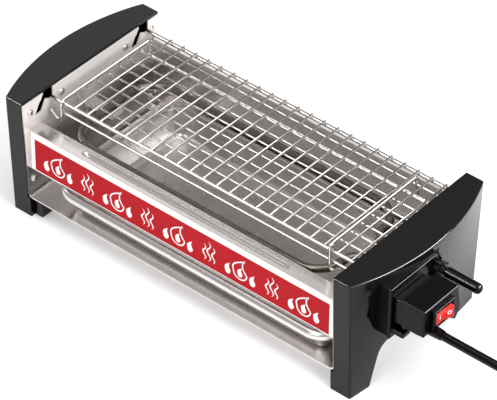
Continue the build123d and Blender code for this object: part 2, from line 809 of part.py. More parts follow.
def hollow_outline(bottom, top):
    """End view of the room inside the cover."""
    front = unit_front + cover_wall
    back = cover_back - cover_wall
    Polygon(
        (front, bottom + cover_wall), (front, top - cover_wall), (back, top - cover_wall),
        (back, bottom + cover_wall), align=None)


end_bottom = unit_bottom + cover_rise
end_top = cover_top - cover_draft
with BuildPart() as cover_hollow:
    with BuildSketch(Plane.YZ.offset(mid_x + flange_front)):
        hollow_outline(unit_bottom, cover_top)
    with BuildSketch(Plane.YZ.offset(mid_x + cover_end - cover_wall)):
        hollow_outline(end_bottom, end_top)
    loft(ruled=True)

# Cover of the power unit: a shell open towards the flange, pierced for the switch and the cord.
with BuildPart() as power_cover:
    with BuildSketch(Plane.YZ.offset(mid_x + flange_front)):
        cover_outline(unit_bottom, cover_top, unit_bottom)
    with BuildSketch(Plane.YZ.offset(mid_x + cover_end)):
        cover_outline(end_bottom, end_top, end_bottom - lobe_drop)
    loft(ruled=True)
    fillet(power_cover.edges().group_by(Axis.X)[-1], cover_round)
    add(cover_hollow.part, mode=Mode.SUBTRACT)
    with BuildSketch(Plane.YZ.offset(mid_x + cover_end - 2 * cover_wall)):
        with Locations((bezel_y, bezel_level)):
            Rectangle(switch_width + 2 * seat_gap, switch_height + 2 * seat_gap)
    extrude(amount=2 * cover_wall + overrun, mode=Mode.SUBTRACT)
    with BuildSketch(Plane.YZ.offset(mid_x + cover_end - gland_inside)):
        with Locations((cord_y, cord_level)):
            Circle(gland_root / 2)
    extrude(amount=gland_inside + overrun, mode=Mode.SUBTRACT)
power_cover.part.label = "power_cover"
export_step(power_cover.part, "parts/power_cover.step")

# Contacts inside the unit: an insulating block with two sleeves, and a thermal cut-out.
sleeve_bore = pin_diameter / 2 + sleeve_gap
with BuildPart() as contact_sleeves:
    with BuildSketch(Plane.YZ.offset(mid_x + flange_front)):
        with Locations(*pin_places):
            Circle(sleeve_bore + sleeve_wall)
            Circle(sleeve_bore, mode=Mode.SUBTRACT)
    extrude(amount=sleeve_length)
contact_sleeves.part.label = "contact_sleeves"
export_step(contact_sleeves.part, "parts/contact_sleeves.step")

with BuildPart() as contact_block:
    with BuildSketch(Plane.YZ.offset(mid_x + flange_front)):
        with Locations((pin_y, pin_level)):
            Rectangle(pin_spacing + 2 * (sleeve_bore + sleeve_wall + contact_margin), contact_height)
        with Locations(*pin_places):
            Circle(sleeve_bore + sleeve_wall, mode=Mode.SUBTRACT)
    extrude(amount=sleeve_length)
contact_block.part.label = "contact_block"
export_step(contact_block.part, "parts/contact_block.step")

with BuildPart() as thermal_cutout:
    with BuildSketch(Plane.YZ.offset(mid_x + flange_front)):
        with Locations((pin_y, cutout_level)):
            Circle(cutout_diameter / 2)
    extrude(amount=cutout_thick)
    fillet(thermal_cutout.faces().sort_by(Axis.X)[-1].edges(), cover_round)
thermal_cutout.part.label = "thermal_cutout"
export_step(thermal_cutout.part, "parts/thermal_cutout.step")

# Switch: bezel outside the cover, body inside it, with a pocket for the rocker.
pivot_x = mid_x + cover_end + bezel_thick - rocker_pivot
with BuildPart() as switch_body:
    with BuildSketch(Plane.YZ.offset(mid_x + cover_end)):
        with Locations((bezel_y, bezel_level)):
            RectangleRounded(bezel_width, bezel_height, bezel_round)
    extrude(amount=bezel_thick)
    with BuildSketch(Plane.YZ.offset(mid_x + cover_end - switch_depth)):
        with Locations((bezel_y, bezel_level)):
            Rectangle(switch_width, switch_height)
    extrude(amount=switch_depth)
    with BuildSketch(Plane.YZ.offset(mid_x + cover_end + bezel_thick - pocket_depth)):
        with Locations((bezel_y, bezel_level)):
            Rectangle(rocker_width + 2 * rocker_gap, rocker_height + 2 * rocker_side)
    extrude(amount=pocket_depth + overrun, mode=Mode.SUBTRACT)
    with BuildSketch(Plane.XY.offset(bezel_level - switch_height / 2)):
        with Locations((pivot_x, bezel_y)):
            Circle(axle / 2 + axle_gap)
    extrude(amount=switch_height, mode=Mode.SUBTRACT)
switch_body.part.label = "switch_body"
export_step(switch_body.part, "parts/switch_body.step")

# Rocker, tipped to one side as it rests, on an upright axle.
rocker_face = rocker_pivot + rocker_stand
half_rocker = rocker_width / 2
tilt = radians(-rocker_tilt)
tilted = (cos(tilt), sin(tilt), 0)
with BuildPart() as rocker:
    with BuildSketch(Plane((pivot_x, bezel_y, bezel_level - rocker_height / 2), x_dir=tilted)):
        Polygon(
            (rocker_face, -half_rocker), (rocker_face - rocker_valley, 0), (rocker_face, half_rocker),
            (-rocker_valley, half_rocker), (-rocker_drop, half_rocker / 2), (-rocker_drop, -half_rocker / 2),
            (-rocker_valley, -half_rocker), align=None)
    extrude(amount=rocker_height)
    with BuildSketch(Plane.XY.offset(bezel_level - switch_height / 2)):
        with Locations((pivot_x, bezel_y)):
            Circle(axle / 2)
    extrude(amount=switch_height)
rocker.part.label = "rocker"
export_step(rocker.part, "parts/rocker.step")

# Crowned collar round the release rod, with pointed lugs.
with BuildPart() as rod_crown:
    with BuildSketch(Plane.YZ.offset(mid_x + flange_front)):
        with Locations((release_y, release_level)):
            Circle(crown_diameter / 2)
        for lug_turn in crown_lugs:
            with Locations(Location((release_y, release_level), lug_turn)):
                Polygon(
                    (0, -crown_base / 2), (crown_reach, -crown_tip / 2),
                    (crown_reach, crown_tip / 2), (0, crown_base / 2), align=None)
        with Locations((release_y, release_level)):
            Circle(crown_bore / 2, mode=Mode.SUBTRACT)
    extrude(amount=crown_length)
rod_crown.part.label = "rod_crown"
export_step(rod_crown.part, "parts/rod_crown.step")

# Release rod: nose and stem through the flange, and a handle with a domed tip.
with BuildPart() as release_rod:
    with BuildSketch(Plane.YZ.offset(mid_x + flange_back - nose_reach)):
        with Locations((release_y, release_level)):
            Circle(stem_diameter / 2)
    extrude(amount=handle_start - flange_back + nose_reach)
    with BuildSketch(Plane.YZ.offset(mid_x + handle_start)):
        with Locations((release_y, release_level)):
            Circle(handle_diameter / 2)
    extrude(amount=handle_length)
    fillet(release_rod.faces().sort_by(Axis.X)[-1].edges(), handle_diameter * dome_share)
release_rod.part.label = "release_rod"
export_step(release_rod.part, "parts/release_rod.step")

# Spring on the stem, between the flange and the handle.
spring_start = mid_x + flange_front + spring_wire / 2 + spring_gap
spring_length = handle_start - flange_front - spring_wire - 2 * spring_gap
with BuildPart() as rod_spring:
    with BuildLine() as spring_path:
        Helix(
            spring_length / spring_turns, spring_length, spring_diameter / 2,
            center=(spring_start, release_y, release_level), direction=(1, 0, 0))
    with BuildSketch(Plane(spring_path.line @ 0, z_dir=spring_path.line % 0)):
        Circle(spring_wire / 2)
    sweep(path=spring_path.line, is_frenet=True)
rod_spring.part.label = "rod_spring"
export_step(rod_spring.part, "parts/rod_spring.step")

# Gland in the end face of the cover, tapering outside it.
gland_x = mid_x + cover_end
with BuildPart() as cord_gland:
    with BuildSketch(Plane.YZ.offset(gland_x)):
        with Locations((cord_y, cord_level)):
            Circle(gland_root / 2)
    with BuildSketch(Plane.YZ.offset(gland_x + gland_outside)):
        with Locations((cord_y, cord_level)):
            Circle(gland_tip / 2)
    loft()
    with BuildSketch(Plane.YZ.offset(gland_x - gland_inside)):
        with Locations((cord_y, cord_level)):
            Circle(gland_root / 2)
    extrude(amount=gland_inside)
    with BuildSketch(Plane.YZ.offset(gland_x - gland_inside)):
        with Locations((cord_y, cord_level)):
            Circle(cord / 2 + gland_bore_gap)
    extrude(amount=gland_inside + gland_outside, mode=Mode.SUBTRACT)
cord_gland.part.label = "cord_gland"
export_step(cord_gland.part, "parts/cord_gland.step")

# Cord: straight out of the gland, then down in an easy bend to the table beside the grill.
coil_low = tie_thick + tie_gap + cord / 2
falls = sum(length * sin(radians(pitch)) for length, (_, pitch) in zip(fall_runs, fall_headings))
fall_share = (cord_level - coil_low) / falls
cord_points = [Vector(gland_x - gland_inside, cord_y, cord_level)]
cord_points.append(cord_points[0] + Vector(gland_inside + cord_straight, 0, 0))
for length, (heading, pitch) in zip(fall_runs, fall_headings):
    flat = length * fall_share * cos(radians(pitch))
    drop = length * fall_share * sin(radians(pitch))
    cord_points.append(
        cord_points[-1] + Vector(flat * cos(radians(heading)), flat * sin(radians(heading)), -drop))
cord_radii = []
for before, at, after in zip(cord_points, cord_points[1:], cord_points[2:]):
    turn = (at - before).get_angle(after - at)
    shorter = min((at - before).length, (after - at).length)
    cord_radii.append(bend_share * shorter / tan(radians(turn / 2)))
print("cord radii", [round(value) for value in cord_radii])
with BuildPart() as power_cord:
    with BuildLine() as cord_path:
        FilletPolyline(*cord_points, radius=cord_radii)
    with BuildSketch(Plane(cord_path.line @ 0, z_dir=cord_path.line % 0)):
        Circle(cord / 2)
    sweep(path=cord_path.line)
power_cord.part.label = "power_cord"
export_step(power_cord.part, "parts/power_cord.step")

# Coil of the rest of the cord: spirals in on the table, climbs, and spirals out on top.
coil_outer = coil_inner + coil_pitch * (coil_turns - climb_share / 4)
coil_start = cord_points[-1] + Vector(0, cord, 0)
coil_middle = coil_start - Vector(coil_outer, 0, 0)
climb = climb_share / 2


def coil_point(turns):
    """Centre line of the coil after so many turns."""
    from_climb = turns - coil_turns
    apart = abs(from_climb)
    radius = coil_inner + coil_pitch * (apart - climb / 2)
    if apart < climb:
        radius = coil_inner + coil_pitch * apart * apart / (2 * climb)
    risen = min(max((from_climb + climb) / climb_share, 0), 1)
    lift = coil_step * risen * risen * (3 - 2 * risen)
    angle = 2 * pi * turns
    return coil_middle + Vector(radius * cos(angle), radius * sin(angle), lift)


def coil_heading(turns):
    """Direction of the coil's centre line after so many turns."""
    return (coil_point(turns + turn_step) - coil_point(turns - turn_step)).normalized()


def two_arcs(start, heading, finish, leaving):
    """Two arcs that leave one point along a direction and reach another along a second."""
    gap = finish - start
    both = heading + leaving
    spare = both.dot(both) - 4
    along = gap.dot(both)
    reach = (along - sqrt(along * along - spare * gap.dot(gap))) / spare
    first = start + heading * reach
    last = finish - leaving * reach
    middle = (first + last) * 0.5
    TangentArc(start, middle, tangent=heading)
    TangentArc(middle, finish, tangent=last - first)


quarters = round(2 * coil_turns * 4)
stations = [(coil_point(count / 4), coil_heading(count / 4)) for count in range(quarters + 1)]
stations[0] = (stations[0][0], Vector(0, 1, 0))
stations[-1] = (stations[-1][0], Vector(0, -1, 0))
tail_end = stations[-1][0] + Vector(0, -tail, 0)
with BuildPart() as cord_coil:
    with BuildLine() as coil_path:
        Line(cord_points[-1], coil_start)
        for (start, heading), (finish, leaving) in zip(stations, stations[1:]):
            two_arcs(start, heading, finish, leaving)
        Line(stations[-1][0], tail_end)
    with BuildSketch(Plane(cord_points[-1], z_dir=(0, 1, 0))):
        Circle(cord / 2)
    sweep(path=coil_path.wire())
cord_coil.part.label = "cord_coil"
export_step(cord_coil.part, "parts/cord_coil.step")

samples = round(2 * coil_turns * 36)
trail = [coil_point(count / 36) for count in range(samples + 1)]
least = min(
    (one - two).length
    for count, one in enumerate(trail) for two in trail[count + 18:])
print("coil self-gap", round(least - cord, 2))
for name, tube_part, line in (
        ("cord", power_cord, cord_path.wire()), ("coil", cord_coil, coil_path.wire())):
    print(name, "length", round(line.length), "volume share",
          round(tube_part.part.volume / (pi * cord * cord / 4 * line.length), 4))

# Tie round all the loops at the back of the coil.
tie_inner = coil_inner + coil_pitch * (climb + climb / 2) - cord / 2 - tie_gap
tie_outer = coil_outer - coil_pitch * climb + cord / 2 + tie_gap
tie_height = cord + coil_step + 2 * tie_gap
with BuildPart() as cord_tie:
    with BuildSketch(Plane.YZ.offset(coil_middle.X - tie_width / 2)):
        with Locations((coil_middle.Y + (tie_inner + tie_outer) / 2, tie_thick + tie_height / 2)):
            RectangleRounded(
                tie_outer - tie_inner + 2 * tie_thick, tie_height + 2 * tie_thick, cord / 2 + tie_thick)
            RectangleRounded(tie_outer - tie_inner, tie_height, cord / 2, mode=Mode.SUBTRACT)
    extrude(amount=tie_width)
cord_tie.part.label = "cord_tie"
export_step(cord_tie.part, "parts/cord_tie.step")

# Plug lying beside the coil, with a tapered relief and two flat blades.
blade_places = [(-blade_spacing / 2, 0), (blade_spacing / 2, 0)]
plug_start = tail_end - Vector(0, plug_relief, 0)
plug_end = plug_start - Vector(0, plug_length, 0)
with BuildPart() as plug_body:
    with BuildSketch(Plane(tail_end, x_dir=(1, 0, 0), z_dir=(0, -1, 0))):
        Circle(plug_relief_tip / 2)
    with BuildSketch(Plane(plug_start, x_dir=(1, 0, 0), z_dir=(0, -1, 0))):
        Circle(plug_relief_root / 2)
    loft()
    with BuildSketch(Plane(plug_start, x_dir=(1, 0, 0), z_dir=(0, -1, 0))):
        RectangleRounded(plug_width, plug_thick, plug_round)
    extrude(amount=plug_length)
    fillet(plug_body.faces().sort_by(Axis.Y)[0].edges(), cover_round)
    with BuildSketch(Plane(plug_end, x_dir=(1, 0, 0), z_dir=(0, -1, 0))):
        with Locations(*blade_places):
            Rectangle(blade_thick, blade_width)
    extrude(amount=-blade_sink, mode=Mode.SUBTRACT)
plug_body.part.label = "plug_body"
export_step(plug_body.part, "parts/plug_body.step")

with BuildPart() as plug_blades:
    with BuildSketch(Plane(plug_end + Vector(0, blade_sink, 0), x_dir=(1, 0, 0), z_dir=(0, -1, 0))):
        with Locations(*blade_places):
            Rectangle(blade_thick, blade_width)
    extrude(amount=blade_sink + blade_length)
plug_blades.part.label = "plug_blades"
export_step(plug_blades.part, "parts/plug_blades.step")
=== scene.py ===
from math import copysign, cos, pi, radians, sin

import bpy
from mathutils import Matrix, Vector


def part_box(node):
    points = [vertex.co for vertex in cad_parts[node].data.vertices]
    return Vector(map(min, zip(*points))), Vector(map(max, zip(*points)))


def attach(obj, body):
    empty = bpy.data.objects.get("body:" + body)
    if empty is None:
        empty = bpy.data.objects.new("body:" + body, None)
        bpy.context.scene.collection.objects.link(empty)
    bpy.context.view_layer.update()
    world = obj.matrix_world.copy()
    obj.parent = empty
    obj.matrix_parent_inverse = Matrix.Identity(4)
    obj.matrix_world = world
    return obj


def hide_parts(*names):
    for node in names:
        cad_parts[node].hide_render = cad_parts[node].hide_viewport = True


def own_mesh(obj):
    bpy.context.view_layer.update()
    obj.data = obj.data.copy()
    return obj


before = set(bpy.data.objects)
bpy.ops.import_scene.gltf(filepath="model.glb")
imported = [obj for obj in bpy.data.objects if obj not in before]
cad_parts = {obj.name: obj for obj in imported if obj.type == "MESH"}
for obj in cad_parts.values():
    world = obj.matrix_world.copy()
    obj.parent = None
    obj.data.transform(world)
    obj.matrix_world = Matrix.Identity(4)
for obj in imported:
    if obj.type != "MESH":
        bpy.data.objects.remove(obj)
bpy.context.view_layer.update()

# Studio: a white paper sweep under soft boxes, with a long lens to the right of the front, 40 degrees up.
# Four strips draw the edges of the black mouldings and the wires, and flags keep them off the rest.
# The room is dark towards the back on the left, which gives the steel its dark reflections.
scene = bpy.context.scene
scene.view_settings.view_transform = "Standard"


def linear(hex_code):
    """Turns an sRGB hex colour into linear values."""
    shares = [int(hex_code[at:at + 2], 16) / 255 for at in (1, 3, 5)]
    return [s / 12.92 if s <= 0.04045 else ((s + 0.055) / 1.055) ** 2.4 for s in shares] + [1.0]


def add_node(tree, kind, inputs=(), **settings):
    """Adds one shader node: inputs pairs a socket with a value or with another node's output."""
    made = tree.nodes.new(kind)
    for name, value in settings.items():
        setattr(made, name, value)
    for socket, value in inputs:
        if isinstance(value, bpy.types.NodeSocket):
            tree.links.new(value, made.inputs[socket])
        else:
            made.inputs[socket].default_value = value
    return made


def new_finish(name, **values):
    """Starts a material with the shader's plain values; names use _ for spaces."""
    finish = bpy.data.materials.new(name)
    finish.use_nodes = True
    shader = finish.node_tree.nodes["Principled BSDF"]
    for socket, value in values.items():
        shader.inputs[socket.replace("_", " ")].default_value = value
    place = add_node(finish.node_tree, "ShaderNodeTexCoord").outputs["Object"]
    return finish, finish.node_tree, shader, place


dark_way, dark_from, dark_full = (-0.5, 0.86, 0.1), 0.8, 0.95
room_glow, dark_glow = 0.45, 0.04
world = bpy.data.worlds.new("studio_air")
scene.world = world
world.use_nodes = True
air = world.node_tree.nodes["Background"]
air.inputs["Color"].default_value = linear("#fbfbfb")
air_way = add_node(world.node_tree, "ShaderNodeTexCoord").outputs["Generated"]
air_back = add_node(
    world.node_tree, "ShaderNodeVectorMath", [(0, air_way), (1, dark_way)], operation="DOT_PRODUCT")
air_glow = add_node(
    world.node_tree, "ShaderNodeMapRange",
    [("Value", air_back.outputs["Value"]), ("From Min", dark_from), ("From Max", dark_full),
     ("To Min", room_glow), ("To Max", dark_glow)])
world.node_tree.links.new(air_glow.outputs[0], air.inputs["Strength"])

focal_pixels, photo_width = 3291.09, 497
camera_data = bpy.data.cameras.new("camera")
camera_data.sensor_width = 36.0
camera_data.sensor_fit = "HORIZONTAL"
camera_data.lens = focal_pixels / photo_width * camera_data.sensor_width
camera_data.clip_end = 20
camera = bpy.data.objects.new("camera", camera_data)
scene.collection.objects.link(camera)
tilt, roll, pan = 50.0284, -0.5162, 40.1318
camera.location = (1.16444, -1.41903, 1.59960)
camera.rotation_euler = (radians(tilt), radians(roll), radians(pan))
scene.camera = camera

mouldings = bpy.data.collections.new("black_mouldings")
wires = bpy.data.collections.new("bright_wires")
for name, place, aim, width, height, power, lit in (
        ("overhead_box", (0.15, -0.1, 1.5), (0, 0, 0.05), 1.4, 1.4, 15, None),
        ("front_box", (0.3, -1.5, 1.1), (0, 0, 0.06), 0.8, 0.5, 7, None),
        ("side_box", (1.6, -0.1, 0.9), (0, 0, 0.08), 1.0, 0.8, 26, None),
        ("back_card", (-1.5, 1.3, 1.5), (0, 0, 0.1), 0.8, 0.8, 1.7, None),
        ("edge_strip", (1.35, 0.7, 1.0), (0.15, 0, 0.1), 1.2, 0.6, 226, mouldings),
        ("front_strip", (-0.9, -1.15, 1.1), (0.1, 0, 0.1), 0.5, 0.4, 110, mouldings),
        ("wire_strip", (-0.95, -1.25, 1.15), (0, 0, 0.1), 0.8, 0.5, 12, wires),
        ("cross_strip", (-0.1, 1.05, 1.5), (0, 0, 0.1), 1.0, 0.5, 8, wires)):
    lamp = bpy.data.lights.new(name, "AREA")
    lamp.shape = "RECTANGLE"
    lamp.size, lamp.size_y = width, height
    lamp.energy = power
    light = bpy.data.objects.new(name, lamp)
    light.location = place
    light.rotation_euler = (Vector(aim) - Vector(place)).to_track_quat("-Z", "Y").to_euler()
    if lit:
        light.light_linking.receiver_collection = lit
    scene.collection.objects.link(light)

bpy.ops.object.select_all(action="DESELECT")
bpy.ops.mesh.primitive_plane_add(size=12, location=(0, 0, 0))
floor = bpy.context.object
floor.name = "floor"
paper = new_finish(
    "white_paper_sweep", Base_Color=linear("#f6f6f6"), Roughness=0.9, Specular_IOR_Level=0.1,
    Emission_Color=linear("#ffffff"), Emission_Strength=0.15)[0]
floor.data.materials.append(paper)

# Tub, back panel and heater bracket: rolled stainless sheet, satin, folded and screwed together.
# Rolling leaves fine level streaks, drawn 1 mm wide so that they show, which blur reflections.
# Each side plate has two leaning slots, next to the notches that hold the rods of the net.
def rolled_steel(name, colour, dullest, brightest, lit_top):
    """Makes a rolled sheet finish: how dull it is runs between two values along the streaks.

    When asked, the metal also turns partly diffuse towards the top of the plates: painted light, which
    brightens that upper strip as if more light fell on it.
    """
    lit_top_from, lit_top_full, lit_top_metal = 0.07, 0.095, 0.25
    finish, tree, shader, place = new_finish(name, Base_Color=linear(colour), Metallic=1.0)
    stretch = add_node(tree, "ShaderNodeMapping", [("Vector", place), ("Scale", (14, 40, 900))])
    streaks = add_node(
        tree, "ShaderNodeTexNoise", [("Vector", stretch.outputs[0]), ("Scale", 1.0), ("Detail", 4.0)])
    blur = add_node(
        tree, "ShaderNodeMapRange",
        [("Value", streaks.outputs["Fac"]), ("To Min", brightest), ("To Max", dullest)])
    tree.links.new(blur.outputs[0], shader.inputs["Roughness"])
    # Painted light: from 70 to 95 mm up, the metal turns partly diffuse, so the upper strip of the plates
    # shows brighter than the shade below it.
    if lit_top:
        level = add_node(tree, "ShaderNodeSeparateXYZ", [("Vector", place)])
        lit_top_metallic = add_node(
            tree, "ShaderNodeMapRange",
            [("Value", level.outputs["Z"]), ("From Min", lit_top_from), ("From Max", lit_top_full),
             ("To Min", 1.0), ("To Max", lit_top_metal)])
        tree.links.new(lit_top_metallic.outputs[0], shader.inputs["Metallic"])
    bump = add_node(
        tree, "ShaderNodeBump",
        [("Height", streaks.outputs["Fac"]), ("Strength", 0.03), ("Distance", 0.0002)])
    tree.links.new(bump.outputs[0], shader.inputs["Normal"])
    return finish


# The tub, back panel and heater bracket carry this painted light on the upper strip of their plates.
satin_steel_lit_top = rolled_steel("satin_stainless_sheet_lit_top", "#e6e1df", 0.3, 0.2, True)


def dress(material, *nodes):
    """Gives CAD nodes a material."""
    for name in nodes:
        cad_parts[name].material_slots[0].material = material


dress(satin_steel_lit_top, "back_panel", "heater_bracket")


def only(piece):
    """Selects one piece and nothing else."""
    bpy.ops.object.select_all(action="DESELECT")
    piece.select_set(True)
    bpy.context.view_layer.objects.active = piece


def shape_with(piece, kind, **settings):
    """Adds a modifier with its settings and applies it."""
    only(piece)
    made = piece.modifiers.new(kind, kind)
    for name, value in settings.items():
        setattr(made, name, value)
    bpy.ops.object.modifier_apply(modifier=made.name)


def pick(piece, kind, test):
    """Opens a piece for editing with the points, edges or faces that pass a test selected."""
    only(piece)
    bpy.ops.object.mode_set(mode="EDIT")
    bpy.ops.mesh.select_mode(type=kind)
    bpy.ops.mesh.select_all(action="DESELECT")
    bpy.ops.object.mode_set(mode="OBJECT")
    kinds = {"VERT": piece.data.vertices, "EDGE": piece.data.edges, "FACE": piece.data.polygons}
    for part in kinds[kind]:
        part.select = test(part)
    bpy.ops.object.mode_set(mode="EDIT")


def stand_in(piece, material, slot, body, *nodes):
    """Finishes a piece: its material, the body it rides on and the nodes it stands for; the slot is not
    used.
    """
    piece.data.materials.clear()
    piece.data.materials.append(material)
    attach(piece, body)
    if nodes:
        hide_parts(*nodes)


def merged(name, node):
    """Copies a CAD node as one closed mesh."""
    made = bpy.data.objects.new(name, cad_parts[node].data.copy())
    scene.collection.objects.link(made)
    only(made)
    bpy.ops.mesh.customdata_custom_splitnormals_clear()
    bpy.ops.object.mode_set(mode="EDIT")
    bpy.ops.mesh.select_all(action="SELECT")
    bpy.ops.mesh.remove_doubles(threshold=0.000002)
    bpy.ops.mesh.dissolve_limited(angle_limit=radians(0.5))
    bpy.ops.object.mode_set(mode="OBJECT")
    return made


def block_between(name, low, high):
    """Makes a plain block from corner to corner, to be shaped, joined to a piece or cut from it."""
    bpy.ops.object.select_all(action="DESELECT")
    bpy.ops.mesh.primitive_cube_add(size=1, location=(Vector(low) + Vector(high)) / 2)
    block = bpy.context.object
    block.name = name
    block.scale = Vector(high) - Vector(low)
    bpy.ops.object.transform_apply(location=True, rotation=True, scale=True)
    return block


rods_low, rods_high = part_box("net_rods")
tub_low, tub_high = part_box("tub")
slot_bottom, slot_rise, slot_lean, slot_width = 0.0902, 0.0096, 0.0054, 0.0068
slot_from_front_rod, slot_from_back_rod = 0.0162, 0.0194
slot_places = (rods_low.y - slot_from_front_rod, rods_high.y - slot_from_back_rod)
plate, fill_bottom, fill_width, fill_before, fill_over = 0.001, 0.0855, 0.009, 0.0015, 0.0003
tub = merged("slotted_tub", "tub")
for place in slot_places:
    for plate_x in (tub_low.x, tub_high.x - plate):
        filler = block_between(
            "slot_filler", (plate_x, place - fill_before, fill_bottom),
            (plate_x + plate, place - fill_before + fill_width, slot_bottom + fill_over))
        shape_with(tub, "BOOLEAN", object=filler, operation="UNION", solver="EXACT")
        bpy.data.objects.remove(filler)
    slot = block_between(
        "plate_slot", (tub_low.x - slot_width, place, slot_bottom),
        (tub_high.x + slot_width, place + slot_width, slot_bottom + slot_rise))
    pick(slot, "FACE", lambda face: face.normal.z > 0.9)
    bpy.ops.transform.translate(value=(0, slot_lean, 0))
    bpy.ops.object.mode_set(mode="OBJECT")
    shape_with(tub, "BOOLEAN", object=slot, operation="DIFFERENCE", solver="EXACT")
    bpy.data.objects.remove(slot)
shape_with(tub, "TRIANGULATE")
bpy.ops.object.shade_smooth_by_angle(angle=radians(30))
stand_in(tub, satin_steel_lit_top, "steel_sheet", "grill", "tub")

# Front panel: one strip of bright rolled sheet, folded back along its top and bottom.
# A long bead is pressed down into the flange to stiffen it, and tabs at its ends hook into the side plates.
bright_steel = rolled_steel("bright_stainless_sheet", "#dedad8", 0.3, 0.2, False)
front_low, front_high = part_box("front_panel")
sheet, sheet_edge, tab_edge = 0.0008, 0.0003, 0.0002
front_left, front_right = tub_low.x + plate, tub_high.x - plate
front_middle = (front_left + front_right) / 2
flange_depth, lip_drop, hem_depth = 0.013, 0.005, 0.006
bead_half, bead_reach, bead_drop = 0.0027, 0.0972, 0.0018
tab_reach, tab_height, tab_share = 0.0022, 0.008, 0.75
grid_long, grid_deep = 146, 26
bead_y = front_low.y + flange_depth / 2
near = 0.00001


def edge_at(piece, axis, place):
    """Gives a test for edges that lie at a place along an axis."""
    points = piece.data.vertices
    return lambda edge: all(abs(points[end].co[axis] - place) < near for end in edge.vertices)


bpy.ops.object.select_all(action="DESELECT")
bpy.ops.mesh.primitive_grid_add(
    x_subdivisions=grid_long, y_subdivisions=grid_deep, size=1,
    location=(front_middle, bead_y, front_high.z))
front_panel = bpy.context.object
front_panel.name = "folded_front_panel"
front_panel.scale = (front_right - front_left, flange_depth, 1)
bpy.ops.object.transform_apply(location=True, rotation=True, scale=True)
for point in front_panel.data.vertices:
    beyond = max(abs(point.co.x - front_middle) - bead_reach + bead_half, 0)
    off_line = min((beyond ** 2 + (point.co.y - bead_y) ** 2) ** 0.5 / bead_half, 1)
    point.co.z -= bead_drop * (1 + cos(pi * off_line)) / 2
for at, moves in (
        (front_low.y, ((0, 0, front_low.z - front_high.z), (0, hem_depth, 0))),
        (front_low.y + flange_depth, ((0, 0, -lip_drop),))):
    pick(front_panel, "EDGE", edge_at(front_panel, 1, at))
    for move in moves:
        bpy.ops.mesh.extrude_edges_move(TRANSFORM_OT_translate={"value": move})
    bpy.ops.object.mode_set(mode="OBJECT")
pick(front_panel, "FACE", lambda face: True)
bpy.ops.mesh.normals_make_consistent(inside=False)
bpy.ops.object.mode_set(mode="OBJECT")
if min(front_panel.data.polygons, key=lambda face: face.center.y).normal.y > 0:
    front_panel.data.flip_normals()
shape_with(front_panel, "SOLIDIFY", thickness=sheet, offset=-1, use_even_offset=True)
shape_with(
    front_panel, "BEVEL", width=sheet_edge, segments=3, limit_method="ANGLE", angle_limit=radians(50))
bpy.ops.object.shade_smooth_by_angle(angle=radians(35))
bpy.ops.object.select_all(action="DESELECT")
bpy.ops.mesh.primitive_cube_add(
    size=1, location=(
        front_low.x + tab_reach / 2, front_low.y + sheet / 2, (front_low.z + front_high.z) / 2))
tabs = bpy.context.object
tabs.name = "front_panel_tabs"
tabs.scale = (tab_reach, sheet * tab_share, tab_height)
bpy.ops.object.transform_apply(location=True, rotation=True, scale=True)
shape_with(tabs, "BEVEL", width=tab_edge, segments=2)
shape_with(
    tabs, "ARRAY", count=2, use_relative_offset=False, use_constant_offset=True,
    constant_offset_displace=(front_high.x - front_low.x - tab_reach, 0, 0))
stand_in(front_panel, bright_steel, "steel_sheet", "grill", "front_panel")
stand_in(tabs, bright_steel, "steel_sheet", "grill")

# Screws: domed stainless heads on the insides of the side plates.
# Tumbling leaves their polish a little duller than the sheet, with scuffs 0.7 mm across.
# The can of the thermal cut-out, inside the power unit, has the same skin.
screw_steel, screw_tree, screw_shader, screw_place = new_finish(
    "tumbled_stainless_screw", Base_Color=linear("#c9c5c1"), Metallic=1.0, Roughness=0.3)
screw_scuffs = add_node(screw_tree, "ShaderNodeTexNoise", [("Vector", screw_place), ("Scale", 1500.0)])
screw_bump = add_node(
    screw_tree, "ShaderNodeBump",
    [("Height", screw_scuffs.outputs["Fac"]), ("Strength", 0.15), ("Distance", 0.0001)])
screw_tree.links.new(screw_bump.outputs[0], screw_shader.inputs["Normal"])
dress(screw_steel, "panel_screws", "thermal_cutout")

# End panels: moulded black ABS, polished in the tool and screwed to the outsides of the side plates.
# The gloss is high, with the faint 20 mm waviness of a moulding.
panel_black, panel_tree, panel_shader, panel_place = new_finish(
    "polished_black_abs", Base_Color=linear("#050505"), Specular_IOR_Level=0.2)
panel_waves = add_node(
    panel_tree, "ShaderNodeTexNoise", [("Vector", panel_place), ("Scale", 45.0), ("Detail", 2.0)])
panel_blur = add_node(
    panel_tree, "ShaderNodeMapRange",
    [("Value", panel_waves.outputs["Fac"]), ("To Min", 0.03), ("To Max", 0.08)])
panel_tree.links.new(panel_blur.outputs[0], panel_shader.inputs["Roughness"])
panel_bump = add_node(
    panel_tree, "ShaderNodeBump",
    [("Height", panel_waves.outputs["Fac"]), ("Strength", 0.02), ("Distance", 0.0005)])
panel_tree.links.new(panel_bump.outputs[0], panel_shader.inputs["Normal"])
dress(panel_black, "left_end_panel", "right_end_panel")
for name in ("left_end_panel", "right_end_panel"):
    mouldings.objects.link(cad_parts[name])

